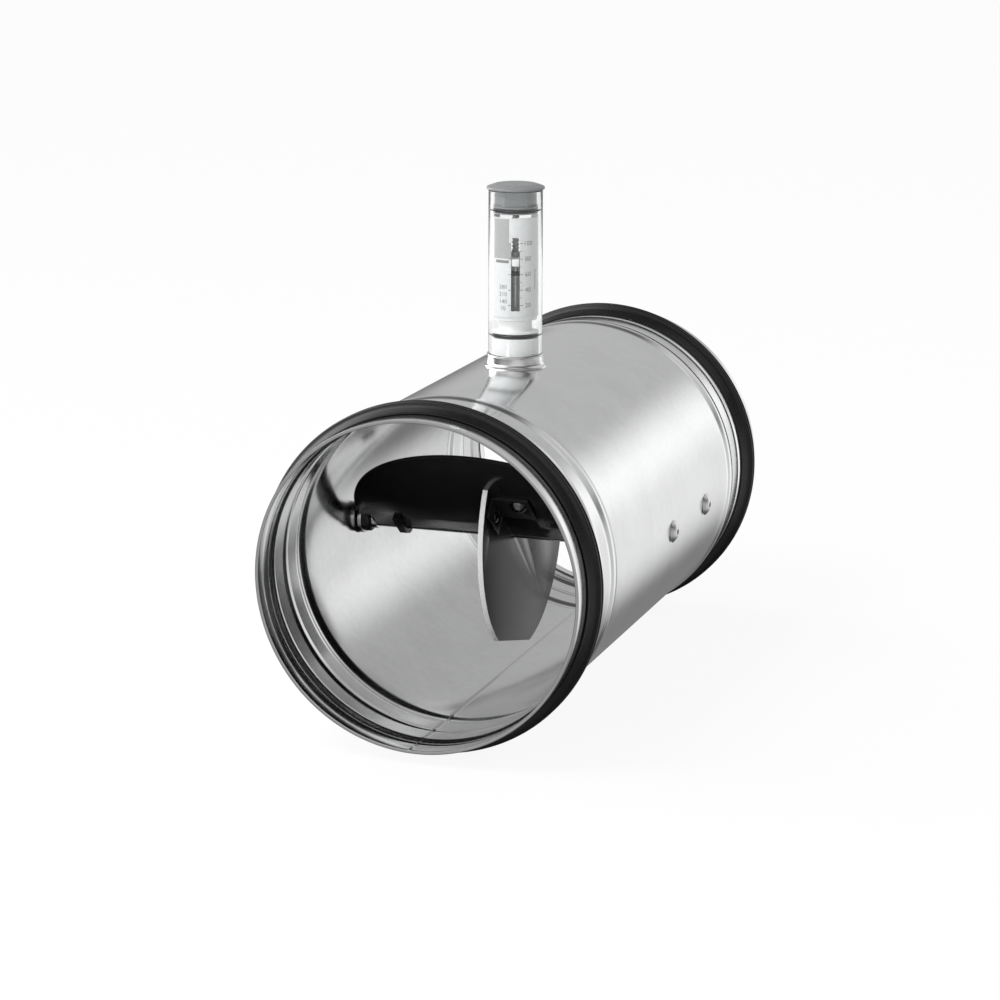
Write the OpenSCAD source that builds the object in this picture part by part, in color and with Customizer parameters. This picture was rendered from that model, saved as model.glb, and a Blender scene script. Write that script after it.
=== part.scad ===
// Constant air volume damper for a round duct.
// The origin is the centre of the inlet mouth, +Y runs down the duct and +Z up to the setting tube.

/* [Casing] */
// Overall length of the casing along the duct
casing_l = 250; // [240:1:320]
// Outside diameter of the casing and its spigots
casing_d = 124.5; // [120:0.5:132]
// Thickness of the galvanised sheet
sheet_t = 0.7; // [0.5:0.1:1]
// Thickness of the hem folded back inside each mouth
hem_t = 1.3; // [1:0.1:1.8]
// Length of the folded hem
hem_l = 5; // [3:0.5:8]
// Rounding of the mouth's outer edge
hem_round = 0.5; // [0.3:0.1:0.6]
// Depth of the shallow groove at each seal's outer edge
edge_h = 0.3; // [0.2:0.1:0.5]
// Half width of the shallow groove at each seal's outer edge
edge_w = 1.5; // [1:0.1:1.6]
// Depth of the groove rolled into each spigot under its seal
groove_h = 1; // [0.6:0.1:1.3]
// Half width of that groove
groove_w = 2.6; // [2:0.1:3]
// Distance from the mouth to that groove
groove_at = 14.3; // [13.5:0.1:15.5]
// Depth of the shallow groove beside the seal
dent_h = 0.3; // [0.1:0.1:0.6]
// Half width of the shallow groove
dent_w = 2.6; // [2:0.1:3]
// Distance from the mouth to the shallow groove
dent_at = 27; // [26:0.5:28.5]
// Height of the bead that stands out where the spigot ends
bead_h = 0.9; // [0.3:0.1:1.2]
// Half width of that bead
bead_w = 5; // [3:0.5:5.5]
// Distance from the mouth to the bead
bead_at = 42; // [40:0.5:44]

/* [Seals] */
// Distance from the mouth to the seal
seal_at = 10.2; // [9:0.1:10.6]
// Length of the seal's base along the spigot
seal_l = 12.4; // [11:0.1:14]
// Height of the seal's lips above the spigot
lip_h = 3.85; // [2:0.05:4.2]

/* [Shaft] */
// Distance from the inlet mouth to the shaft
shaft_y = 104; // [100:0.5:106]
// Height of the shaft's axis over the duct's axis
shaft_z = -2.3; // [-4:0.1:0]
// Diameter of the shaft
shaft_d = 6; // [5:0.1:6.4]
// Thickness of the bearing brackets
bracket_t = 1.5; // [1:0.1:2]
// Width of the bearing brackets
bracket_w = 12; // [11:0.5:13]
// Diameter of the bearing bush's collar
bush_d = 10.4; // [10:0.1:11.5]
// Length of the bearing bush's collar
bush_l = 3.2; // [2:0.1:3.4]
// Diameter of the set collars on the shaft
collar_d = 7.8; // [7:0.1:9]
// Length of one set collar
collar_l = 2.1; // [1.5:0.1:2.3]
// Distance from the inlet mouth to the first flank screw
screw1_y = 122.2; // [121:0.2:124]
// Distance from the inlet mouth to the second flank screw
screw2_y = 170; // [168:0.5:176]
// Diameter of the flank screws
screw_d = 4; // [3:0.1:4.2]
// Diameter of the flank screws' heads
screw_head_d = 9; // [8:0.1:9.5]
// Height of the flank screws' heads
screw_head_h = 2.2; // [1.5:0.1:3]
// Width across the corners of the flank nuts
nut_d = 7.8; // [7.2:0.1:8]
// Thickness of the flank nuts
nut_t = 3; // [2:0.1:3.2]

/* [Blade] */
// Angle of the blade above the duct's axis at rest
blade_tilt = 40.2; // [38:0.2:42]
// Gap between the blade's disc and the casing
blade_gap = 3.25; // [3:0.05:4]
// Thickness of the blade
blade_t = 1.2; // [1:0.1:2]
// Distance from the shaft's axis to the centre of the blade's disc
blade_centre = 8.5; // [7:0.5:9]
// Distance from the shaft's axis to the blade's straight edge
blade_edge = 4.2; // [3.4:0.1:4.6]
// Width of the notch at each end of the straight edge
notch_w = 4.9; // [4.5:0.1:6]
// Height of the notch at each end of the straight edge
notch_h = 11; // [9:0.5:14]
// Gap between the right blade clip and the crank arm
clip_gap = 1.5; // [0.5:0.05:3]
// Width of one blade clip
clip_w = 3; // [2.6:0.1:5]
// Wall of the blade clips around the shaft
clip_t = 1.8; // [1:0.1:2]
// Length of the blade clips' tongues on the blade
tongue_l = 7; // [5:0.5:10]

/* [Cam plate] */
// Gap between the cam plate and the casing below it
plate_gap = 9.65; // [8:0.05:14]
// Thickness of the cam plate
plate_t = 2; // [1.5:0.1:2.4]
// Distance from the duct's middle plane to the cam plate
plate_x = 1.9; // [1.7:0.1:3.2]
// Height of the cam plate's rear edge over the shaft's axis
plate_top = 5; // [4:0.5:8]
// Radius of the cam plate's eye around the shaft
plate_eye_r = 7.5; // [6:0.1:8]
// Depth of the flat at the cam plate's lower rim
flat_h = 3.9; // [3:0.1:6]
// Angle between that flat and the duct's axis
flat_turn = 14.6; // [0:0.2:20]
// Gap between the hub and the pull rod's eye
hub_gap = 1.1; // [0.5:0.1:1.5]
// Radius of the hub
hub_r = 11.5; // [11.3:0.1:12]
// Length of the hub's full width part
hub_l = 3; // [2:0.1:4]
// Length of the hub's cone
hub_cone_l = 5; // [4:0.1:7]
// Thickness of the hub's thin end around the shaft
hub_wall = 0.8; // [0.6:0.1:1.5]
// Diameter of the crank pins
pin_d = 2.5; // [2:0.1:2.6]
// Diameter of the crank pins' heads
pin_head_d = 4.2; // [3.6:0.1:4.4]
// Thickness of the crank pins' heads
pin_head_t = 0.9; // [0.6:0.1:1]
// Length of the plate bracket along the blade
angle_l = 15; // [12:0.5:15]
// Width of the plate bracket's leg on the blade
angle_w = 15; // [13:0.5:17]
// Height of the plate bracket's leg on the cam plate
angle_h = 9; // [7:0.5:10]
// Thickness of the plate bracket
angle_t = 1.2; // [0.8:0.1:1.5]
// Distance from the cam plate's front rim back to the plate bracket
angle_rim = 18.6; // [17:0.2:20]
// Diameter of the plate bracket's fasteners
stud_d = 3; // [2.5:0.1:3.2]
// Diameter of the plate bracket's fastener heads
stud_head_d = 6.8; // [6:0.1:7]
// Height of the plate bracket's fastener heads
stud_head_h = 2.2; // [1.5:0.1:2.6]

/* [Dashpot] */
// Distance from the dashpot's holder plate to the dashpot's axis
dash_inset = 8.8; // [8.5:0.1:9.2]
// Height of the dashpot's axis over the shaft's axis
dash_arm = 10; // [9.5:0.1:10.5]
// Outside diameter of the dashpot's cylinder
dash_d = 12.4; // [12:0.1:12.6]
// Wall of the dashpot's cylinder
dash_wall = 1.2; // [0.8:0.1:1.6]
// Length of the dashpot's cylinder
dash_l = 34; // [32:0.5:36]
// Thickness of the dashpot's end caps
dash_cap_t = 3; // [2:0.1:3.2]
// Length of the dashpot's piston
piston_l = 4; // [3:0.1:6]
// Diameter of the dashpot's rod
dash_rod_d = 2; // [1.6:0.1:2]
// Thickness of the crank arm
arm_t = 2.6; // [2:0.1:2.8]
// Width of the dashpot's clamp rings
clamp_w = 5; // [4:0.1:6]
// Wall of the dashpot's clamp rings
clamp_t = 1.5; // [1:0.1:1.7]
// Thickness of the dashpot's holder plate
holder_t = 1.5; // [1:0.1:1.6]

/* [Setting tube] */
// Distance from the inlet mouth to the setting tube's axis
tube_y = 113; // [112.6:0.1:113.4]
// Outside diameter of the clear tube
tube_d = 20.9; // [20.4:0.1:22]
// Wall of the clear tube
tube_wall = 1.45; // [1.2:0.05:1.5]
// Length of the clear tube
tube_l = 63.6; // [61:0.1:66]
// Height of the socket over the casing's crown
socket_h = 4.35; // [4:0.05:6]
// Width of the socket's foot beyond the tube
foot_w = 1.85; // [1.6:0.05:3]
// Height of the tube base inside the clear tube
base_h = 15.2; // [15:0.1:16]
// Length of the tube base below the socket's top
base_stem_l = 8.1; // [6:0.1:10]
// Diameter of the passage through the tube base
base_bore_d = 7.2; // [7:0.1:8]
// Thickness of the sealing rings
ring_d = 1.6; // [1.4:0.1:1.7]
// Thickness of the scale sleeve
scale_t = 0.4; // [0.3:0.1:0.5]
// Gap between the scale sleeve and the knob's plug
scale_clear = 1.2; // [0.6:0.1:2]
// Width of the slot in the scale sleeve
slot_w = 3.4; // [3.3:0.1:4]
// Height of the slot over the scale sleeve's lower edge
slot_at = 2.5; // [2:0.1:4]
// Height of the scale sleeve above its slot
slot_rest = 7.5; // [6.5:0.1:8]
// Angle that the scale sleeve leaves open at the back
scale_gap = 100; // [60:5:140]
// Angle that the scale is turned from the inlet's direction to the right
scale_turn = 18.7; // [-45:0.1:45]

/* [Knob] */
// Diameter of the knob's rim
knob_d = 22.4; // [21.5:0.1:24]
// Diameter of the knob's flat top
knob_top_d = 15.6; // [14:0.1:17]
// Height of the knob's rim
knob_rim_h = 0.9; // [0.6:0.1:1.5]
// Height of the knob's bevel
knob_bevel_h = 1.2; // [0.8:0.1:2]
// Length of the knob's plug inside the tube
plug_l = 9.1; // [8.8:0.1:9.4]
// Width across the corners of the plug's hexagonal neck
plug_neck_d = 17; // [14:0.1:17.3]
// Diameter of the threaded spindle
spindle_d = 3; // [2.9:0.1:3.1]
// Depth of free thread in the indicator sleeve below the spindle
spindle_rest = 8; // [7.5:0.1:9]

/* [Indicator] */
// Height of the indicator sleeve's lower end over the socket
sleeve_at = 10.4; // [10:0.1:11]
// Length of the indicator sleeve above the pointer's lower side
sleeve_over = 4.4; // [3:0.1:5]
// Diameter of the indicator sleeve
sleeve_d = 4.4; // [4.2:0.1:4.6]
// Depth of solid wall at the indicator sleeve's lower end
sleeve_end = 3; // [2:0.1:3.2]
// Distance from the pointer's lower side up to the knob's plug
pointer_at = 19.8; // [19:0.1:20.6]
// Height of the pointer
pointer_h = 2.8; // [2:0.1:3]
// Diameter of the pointer's ring
pointer_d = 7; // [6:0.1:8]
// Width of the pointer's tip in the slot
pointer_w = 2.8; // [2:0.1:2.8]
// Distance from the dark collar's lower side up to the pointer's
mark_at = 4.6; // [3:0.1:6]
// Height of the dark collar
mark_h = 1.8; // [1:0.1:2.4]
// Diameter of the dark collar
mark_d = 6; // [5.4:0.1:6.4]

/* [Spring and pull rod] */
// Diameter of the spring's wire
wire_d = 0.7; // [0.5:0.05:0.8]
// Mean diameter of the spring's coil
coil_d = 5.3; // [5.2:0.05:5.5]
// Number of the spring's coils
coils = 24; // [18:1:24]
// Length of the spring's coiled part
coil_l = 46.4; // [44:0.1:48]
// Length of the rod that carries the spring
hanger_l = 7; // [6:0.1:7.4]
// Diameter of that rod
hanger_d = 2; // [1.6:0.1:2.4]
// Thickness of the flanges at the spring's ends
flange_t = 1; // [0.8:0.1:1.4]
// Diameter of the flanges at the spring's ends
flange_d = 6; // [5.8:0.1:6.2]
// Length of the plugs inside the spring's ends
core_l = 4.3; // [3:0.1:5]
// Diameter of the plugs inside the spring's ends
core_d = 4; // [3.6:0.1:4.1]
// Diameter of the pull rod
pull_d = 1.6; // [1.2:0.1:2]
// Thickness of the slotted eyes
eye_t = 2; // [1.6:0.1:2.2]
// Wall around the slots of the eyes
eye_wall = 1.5; // [1:0.1:1.5]

/* [Hidden] */
$fn = 96;

// Clearances and the one overrun of all cuts
over = 1;
fit_gap = 0.02;
seat_gap = 0.05;
run_gap = 0.05;
thread_gap = 0.08;
free_gap = 0.3;

// Casing
casing_r = casing_d / 2;
casing_ri = casing_r - sheet_t;
roll_from = seal_at - edge_w;
roll_to = bead_at + bead_w;
roll_steps = 36;
full_turn = 360;

// Seal profile as shares of its length and height
lip_shares = [[0, 0], [0, 0.1], [0.05, 0.16], [0.27, 0.56], [0.335, 0.93], [0.38, 1],
    [0.43, 0.96], [0.45, 0.6], [0.5, 0.58], [0.53, 0.96], [0.57, 1], [0.615, 0.93], [0.7, 0.56],
    [0.95, 0.16], [1, 0.1], [1, 0]];

// Bearings, measured outwards from the duct's middle plane
shaft_r = shaft_d / 2;
bracket_reach = abs(shaft_z) + bracket_w / 2;
bracket_x1 = sqrt(casing_ri * casing_ri - bracket_reach * bracket_reach) - 2 * seat_gap;
bracket_x0 = bracket_x1 - bracket_t;
bush_x0 = bracket_x0 - bush_l;
bush_body_d = bush_d - bracket_t;
collar_x1 = bush_x0 - free_gap;
shaft_x1 = bracket_x1 - free_gap;
screw_r = screw_d / 2;
holder_x0 = bracket_x0 - holder_t;

// Blade, drawn level with its free rim towards -Y and its shaft at the origin
blade_r = casing_ri - blade_gap;
blade_z1 = -shaft_r;
blade_z0 = blade_z1 - blade_t;
notch_x = blade_r - notch_w;

// Cam plate, hub and the crank pin between them, under the setting tube's axis
plate_r = casing_ri + shaft_z - plate_gap;
plate_x1 = plate_x + plate_t;
hub_x1 = -eye_t / 2 - hub_gap;
hub_x0 = hub_x1 - hub_l;
hub_x00 = hub_x0 - hub_cone_l;
pin_r = pin_d / 2;
pin_y = tube_y;
pin_z = shaft_z;
crank_r = pin_y - shaft_y;
angle_at = plate_r - crank_r - angle_rim;
angle_x1 = plate_x1 + angle_w;
angle_z0 = blade_z0 - angle_t;
stud_r = stud_d / 2;
stud_x = plate_x1 + angle_w * 2 / 3;
stud_y = -angle_at - angle_l * 2 / 3;
rivet_y = -angle_at - angle_l / 2;
rivet_z = angle_z0 - (angle_h - angle_t) / 2;
reach = 2 * plate_r;

// Swing of the blade from rest, in degrees
close_swing = 30;
open_swing = 32;
swing = max(close_swing, open_swing);

// Slots of the two eyes take up the arcs of their crank pins
pull_play = crank_r * (1 - cos(swing)) + free_gap;
dash_play = dash_arm * (1 - cos(swing)) + free_gap;
pull_half = pin_r + free_gap + crank_r * (swing * PI / 180 - sin(swing));
dash_half = pin_r + free_gap + dash_arm * (swing * PI / 180 - sin(swing));

// Dashpot
dash_x = holder_x0 - dash_inset;
dash_z = shaft_z + dash_arm;
dash_r = dash_d / 2;
dash_ri = dash_r - dash_wall;
dash_y = (screw1_y + screw2_y - dash_l) / 2;
dash_y1 = dash_y + dash_l;
dash_rod_r = dash_rod_d / 2;
piston_y = (dash_y + dash_y1 - piston_l) / 2;
arm_x1 = dash_x - eye_t / 2 - free_gap;
arm_x0 = arm_x1 - arm_t;
arm_eye_r = shaft_r + clip_t;
clip_at = arm_x0 - clip_gap - clip_w / 2;
clamp_inset_share = 0.15;

// Setting tube
tube_r = tube_d / 2;
tube_ri = tube_r - tube_wall;
tube_z0 = casing_r + socket_h;
tube_z1 = tube_z0 + tube_l;
foot_r = tube_r + foot_w;
socket_ri = tube_ri - seat_gap;
base_r = socket_ri - 2 * seat_gap;
base_top = tube_z0 + base_h;
base_bore_r = base_bore_d / 2;
ring_r = ring_d / 2;
ring_mid_r = tube_ri - run_gap - ring_r;
ring_seat_r = ring_mid_r - ring_r - fit_gap;
low_ring_z = tube_z0 + base_h / 2;
base_lip = 1.2;
base_neck_r = base_bore_r + 2 * base_lip;
scale_r = tube_ri - 3 * seat_gap;

// Knob
knob_z0 = tube_z1 + free_gap;
knob_z1 = knob_z0 + knob_rim_h;
knob_z2 = knob_z1 + knob_bevel_h;
plug_z0 = knob_z0 - plug_l;
scale_z1 = plug_z0 - scale_clear;
scale_l = scale_z1 - base_top;
slot_l = scale_l - slot_at - slot_rest;
plug_r = tube_ri - free_gap;
plug_lip = 0.5;
high_ring_z = plug_z0 + plug_lip + ring_r + fit_gap;
spindle_r = spindle_d / 2;
spindle_z1 = (plug_z0 + knob_z0) / 2;

// Indicator
sleeve_z0 = tube_z0 + sleeve_at;
pointer_z = plug_z0 - pointer_at;
sleeve_z1 = pointer_z + sleeve_over;
spindle_z0 = sleeve_z0 + sleeve_end + spindle_rest;
sleeve_r = sleeve_d / 2;
sleeve_ri = spindle_r + thread_gap;
mark_z = pointer_z - mark_at;

// Spring and pull rod
wire_r = wire_d / 2;
core_r = core_d / 2;
hanger_z0 = sleeve_z0 - hanger_l;
spring_z1 = hanger_z0 - flange_t - wire_r - run_gap;
spring_z0 = spring_z1 - coil_l;
pull_z1 = spring_z0 - wire_r - run_gap;
coil_rings = 8;
coil_sides = 6;

module along_y() rotate([-90, 0, 0]) children();
module along_x() rotate([0, 90, 0]) children();
module slab(x0, x1) translate([x0, 0, 0]) rotate([90, 0, 90]) linear_extrude(x1 - x0) children();
module on_shaft() translate([0, shaft_y, shaft_z]) children();
module on_tube() translate([0, tube_y, 0]) children();
module facing_scale() translate([0, tube_y, 0]) rotate(scale_turn) children();
module blade_frame() on_shaft() rotate([-blade_tilt, 0, 0]) children();
module blade_frame_flat() translate([shaft_y, shaft_z]) rotate(-blade_tilt) children();
module both_sides() for (side = [0, 1]) mirror([side, 0, 0]) children();
module rod_x(x0, x1, r) translate([x0, 0, 0]) along_x() cylinder(h = x1 - x0, r = r);
module rod_z(z0, z1, r) translate([0, 0, z0]) cylinder(h = z1 - z0, r = r);

// Height of a smooth ridge of half width w around a centre
function ridge(a, at, w) = abs(a - at) < w ? (1 + cos(180 * (a - at) / w)) / 2 : 0;
// How far the rolled wall stands out at a distance a from its mouth
function rolled(a) = bead_h * ridge(a, bead_at, bead_w)
    - groove_h * ridge(a, groove_at, groove_w) - dent_h * ridge(a, dent_at, dent_w)
    - edge_h * ridge(a, seal_at, edge_w);
function flip_end(list) = [for (p = list) [p[0], casing_l - p[1]]];
function reversed(list) = [for (i = [len(list) - 1:-1:0]) list[i]];
roll_as = [for (i = [0:roll_steps]) roll_from + (roll_to - roll_from) * i / roll_steps];
end_outer = concat([[casing_r - hem_round, 0], [casing_r, hem_round]],
    [for (a = roll_as) [casing_r + rolled(a), a]]);
end_inner = concat([[casing_r - hem_t + hem_round / 2, 0], [casing_r - hem_t, hem_round],
    [casing_r - hem_t, hem_l], [casing_ri, hem_l + hem_t - sheet_t]],
    [for (a = roll_as) [casing_ri + rolled(a), a]]);

module casing()
    color("silver")
    difference() {
        along_y() rotate_extrude()
            polygon(concat(end_outer, reversed(flip_end(end_outer)),
                flip_end(end_inner), reversed(end_inner)));
        on_tube() rod_z(0, casing_d, socket_ri + seat_gap);
        for (y = [screw1_y, screw2_y])
            translate([0, y, shaft_z]) rod_x(-casing_d, casing_d, screw_r + run_gap);
    }

module seal()
    color("dimgray")
    along_y() rotate_extrude()
        polygon([for (s = lip_shares) [casing_r + seat_gap + s[1] * lip_h, seal_at + s[0] * seal_l]]);

module inlet_seal() seal();

module outlet_seal() translate([0, casing_l, 0]) mirror([0, 1, 0]) seal();

// Strip with round ends from y0 to y1 at the shaft's height, seen along the shaft
module strip(y0, y1) {
    translate([y0, shaft_z - bracket_w / 2]) square([y1 - y0, bracket_w]);
    for (y = [y0, y1]) translate([y, shaft_z]) circle(d = bracket_w);
}

module bearing_bracket()
    color("gainsboro")
    slab(bracket_x0, bracket_x1) difference() {
        strip(shaft_y, screw2_y);
        translate([shaft_y, shaft_z]) circle(d = bush_body_d + 2 * fit_gap);
        for (y = [screw1_y, screw2_y]) translate([y, shaft_z]) circle(r = screw_r + run_gap);
    }

module right_bearing_bracket() bearing_bracket();

module left_bearing_bracket() mirror([1, 0, 0]) bearing_bracket();

module bush()
    color("black")
    on_shaft() difference() {
        union() {
            rod_x(bush_x0, bracket_x0, bush_d / 2);
            rod_x(bracket_x0 - fit_gap, bracket_x1, bush_body_d / 2);
        }
        rod_x(bush_x0 - over, bracket_x1 + over, shaft_r + run_gap);
    }

module right_bush() bush();

module left_bush() mirror([1, 0, 0]) bush();

// Domed head, its flat side on the plane z = 0
module dome(d, h) {
    ball_r = (d * d / 4 + h * h) / (2 * h);
    rotate_extrude() intersection() {
        square([d / 2, h]);
        translate([0, h - ball_r]) circle(r = ball_r);
    }
}

module flank_screw(tip_x) {
    translate([casing_r, 0, 0]) along_x() dome(screw_head_d, screw_head_h);
    rod_x(tip_x, casing_r + fit_gap, screw_r);
}

module flank_screws()
    color("lightgray")
    for (y = [screw1_y, screw2_y]) translate([0, y, shaft_z]) {
        flank_screw(holder_x0 - nut_t - over / 2);
        mirror([1, 0, 0]) flank_screw(bracket_x0 - nut_t - over / 2);
    }

module flank_nut(x1)
    difference() {
        translate([x1 - nut_t, 0, 0]) along_x() cylinder(h = nut_t, d = nut_d, $fn = 6);
        rod_x(x1 - nut_t - over, x1 + over, screw_r + fit_gap);
    }

module flank_nuts()
    color("lightgray")
    for (y = [screw1_y, screw2_y]) translate([0, y, shaft_z]) {
        flank_nut(holder_x0);
        mirror([1, 0, 0]) flank_nut(bracket_x0);
    }

module shaft()
    color("silver")
    on_shaft() rod_x(-shaft_x1, shaft_x1, shaft_r);

module shaft_collars()
    color("gainsboro")
    on_shaft() both_sides() difference() {
        rod_x(collar_x1 - collar_l, collar_x1, collar_d / 2);
        rod_x(collar_x1 - collar_l - over, collar_x1 + over, shaft_r + fit_gap);
    }

module blade()
    color("black")
    blade_frame() translate([0, 0, blade_z0]) linear_extrude(blade_t) difference() {
        intersection() {
            translate([0, -blade_centre]) circle(r = blade_r, $fn = 180);
            translate([-blade_r, -blade_edge - 2 * blade_r]) square(2 * blade_r);
        }
        both_sides() translate([notch_x, -notch_h]) square([notch_w + over, notch_h]);
        translate([stud_x, stud_y]) circle(r = stud_r + run_gap);
    }

// Space of the blade's sheet, which the pieces around it are cut to
module blade_space(extra)
    translate([-blade_r, extra - blade_edge - reach, blade_z0 - fit_gap])
        cube([2 * blade_r, reach, blade_t + 2 * fit_gap]);

module blade_clips()
    color("black")
    blade_frame() both_sides() translate([clip_at - clip_w / 2, 0, 0]) difference() {
        union() {
            rod_x(0, clip_w, shaft_r + clip_t);
            translate([0, -blade_edge - tongue_l, blade_z0 - angle_t])
                cube([clip_w, blade_edge + tongue_l, angle_t]);
        }
        rod_x(-over, clip_w + over, shaft_r + fit_gap);
        blade_space(seat_gap);
    }

module blade_hub()
    color("black")
    difference() {
        on_shaft() along_x() rotate_extrude()
            polygon([[shaft_r + fit_gap, hub_x00], [shaft_r + hub_wall, hub_x00], [hub_r, hub_x0],
                [hub_r, hub_x1], [shaft_r + fit_gap, hub_x1]]);
        blade_frame() blade_space(seat_gap);
        translate([0, pin_y, pin_z]) rod_x(hub_x0, hub_x1 + over, pin_r + fit_gap);
    }

// Outline of the cam plate's rim: a disc with a flat at its lower side
module plate_rim()
    intersection() {
        circle(r = plate_r, $fn = 180);
        rotate(-flat_turn) translate([-plate_r, flat_h - plate_r]) square(2 * plate_r);
    }

module cam_plate()
    color("gray")
    difference() {
        slab(plate_x, plate_x1) difference() {
            intersection() {
                translate([pin_y, pin_z]) plate_rim();
                union() {
                    blade_frame_flat() translate([-reach, blade_z0 - fit_gap - 2 * reach])
                        square([3 * reach, 2 * reach]);
                    intersection() {
                        blade_frame_flat() translate([seat_gap - blade_edge, -reach])
                            square([reach, 2 * reach]);
                        translate([shaft_y - reach, shaft_z + plate_top - reach])
                            square([2 * reach, reach]);
                    }
                    translate([shaft_y, shaft_z]) circle(r = plate_eye_r);
                }
            }
            translate([shaft_y, shaft_z]) circle(r = shaft_r + fit_gap);
            translate([pin_y, pin_z]) circle(r = pin_r + fit_gap);
            blade_frame_flat() translate([rivet_y, rivet_z]) circle(r = stud_r + fit_gap);
        }
        blade_frame() blade_space(seat_gap);
    }

module plate_bracket()
    color("black")
    blade_frame() difference() {
        translate([plate_x1, -angle_at - angle_l, angle_z0 - angle_h + angle_t])
            cube([angle_w, angle_l, angle_h]);
        translate([plate_x1 + angle_t, -angle_at - angle_l - over, angle_z0 - angle_h - over])
            cube([angle_w, angle_l + 2 * over, angle_h + over]);
        translate([stud_x, stud_y, angle_z0 - over])
            cylinder(h = 2 * over + angle_t, r = stud_r + fit_gap);
        translate([0, rivet_y, rivet_z])
            rod_x(plate_x1 - over, plate_x1 + angle_t + over, stud_r + fit_gap);
    }

module plate_fasteners()
    color("silver")
    blade_frame() {
        translate([stud_x, stud_y, angle_z0]) mirror([0, 0, 1]) dome(stud_head_d, stud_head_h);
        translate([stud_x, stud_y, 0]) {
            rod_z(angle_z0 - fit_gap, blade_z1 + stud_head_h, stud_r);
            rod_z(blade_z1, blade_z1 + stud_head_h, stud_head_d / 2, $fn = 6);
        }
        translate([0, rivet_y, rivet_z]) {
            rod_x(plate_x - fit_gap, plate_x1 + angle_t + fit_gap, stud_r);
            translate([plate_x1 + angle_t, 0, 0]) along_x() dome(stud_head_d * 2 / 3, stud_head_h / 2);
            mirror([1, 0, 0]) translate([-plate_x, 0, 0]) along_x()
                dome(stud_head_d * 2 / 3, stud_head_h / 2);
        }
    }

module crank_pin()
    color("silver")
    translate([0, pin_y, pin_z]) {
        rod_x((hub_x0 + hub_x1) / 2, plate_x1 + fit_gap, pin_r);
        rod_x(plate_x1, plate_x1 + pin_head_t, pin_head_d / 2);
    }

module crank_arm()
    color("gainsboro") {
        difference() {
            slab(arm_x0, arm_x1) difference() {
                union() {
                    translate([shaft_y, shaft_z]) circle(r = arm_eye_r);
                    translate([shaft_y, dash_z]) circle(d = pin_head_d + eye_wall);
                    translate([shaft_y - pin_head_d / 2, shaft_z]) square([pin_head_d, dash_arm]);
                }
                translate([shaft_y, shaft_z]) circle(r = shaft_r + fit_gap);
            }
            blade_frame() blade_space(seat_gap);
            blade_frame() translate([arm_x0 - over, -arm_eye_r, blade_z0 - arm_eye_r])
                cube([arm_t + 2 * over, 2 * arm_eye_r, arm_eye_r]);
        }
        translate([0, shaft_y, dash_z]) {
            rod_x(arm_x1 - fit_gap, dash_x + eye_t / 2 + 2 * free_gap, pin_r);
            rod_x(dash_x + eye_t / 2 + free_gap, dash_x + eye_t / 2 + free_gap + pin_head_t,
                pin_head_d / 2);
        }
    }

module dashpot_holder()
    color("gainsboro")
    difference() {
        union() {
            slab(holder_x0, bracket_x0) strip(screw1_y, screw2_y);
            for (y = [dash_y + dash_l * clamp_inset_share,
                dash_y1 - dash_l * clamp_inset_share - clamp_w]) {
                translate([dash_x, y, dash_z]) along_y() cylinder(h = clamp_w, r = dash_r + clamp_t);
                translate([dash_x + dash_r, y, shaft_z - bracket_w / 2])
                    cube([bracket_x0 - dash_x - dash_r, clamp_w, dash_arm + bracket_w / 2 + pin_d]);
            }
        }
        translate([dash_x, dash_y - over, dash_z]) along_y()
            cylinder(h = dash_l + 2 * over, r = dash_r + fit_gap);
        for (y = [screw1_y, screw2_y])
            translate([0, y, shaft_z]) rod_x(holder_x0 - over, bracket_x0 + over, screw_r + run_gap);
    }

module dashpot_cylinder()
    color("lightgray")
    translate([dash_x, dash_y, dash_z]) along_y() difference() {
        cylinder(h = dash_l, r = dash_r);
        translate([0, 0, -over]) cylinder(h = dash_l + 2 * over, r = dash_ri);
    }

// End cap with its flange against the cylinder's end and its plug inside
module dashpot_cap(bore_r)
    rotate_extrude() polygon([[bore_r, -dash_cap_t], [dash_r, -dash_cap_t], [dash_r, 0],
        [dash_ri - fit_gap, 0], [dash_ri - fit_gap, dash_cap_t], [bore_r, dash_cap_t]]);

module dashpot_caps()
    color("dimgray") {
        translate([dash_x, dash_y, dash_z]) along_y() dashpot_cap(dash_rod_r + run_gap);
        translate([dash_x, dash_y1, dash_z]) mirror([0, 1, 0]) along_y() dashpot_cap(0);
    }

module dashpot_piston()
    color("dimgray")
    translate([dash_x, piston_y, dash_z]) along_y() difference() {
        cylinder(h = piston_l, r = dash_ri - thread_gap);
        translate([0, 0, -over]) cylinder(h = piston_l / 2 + over, r = dash_rod_r + fit_gap);
    }

module dashpot_rod()
    color("silver") {
        translate([dash_x, shaft_y + dash_half + eye_wall - fit_gap, dash_z]) along_y()
            cylinder(h = piston_y + piston_l / 2 - shaft_y - dash_half - eye_wall + fit_gap,
                r = dash_rod_r);
        slab(dash_x - eye_t / 2, dash_x + eye_t / 2) translate([shaft_y, dash_z]) difference() {
            translate([-dash_half - eye_wall, -pin_r - dash_play - eye_wall])
                square([2 * (dash_half + eye_wall),
                    dash_play + 2 * (pin_r + eye_wall) + free_gap]);
            translate([-dash_half, -pin_r - dash_play])
                square([2 * dash_half, dash_play + 2 * pin_r + free_gap]);
        }
    }

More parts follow.
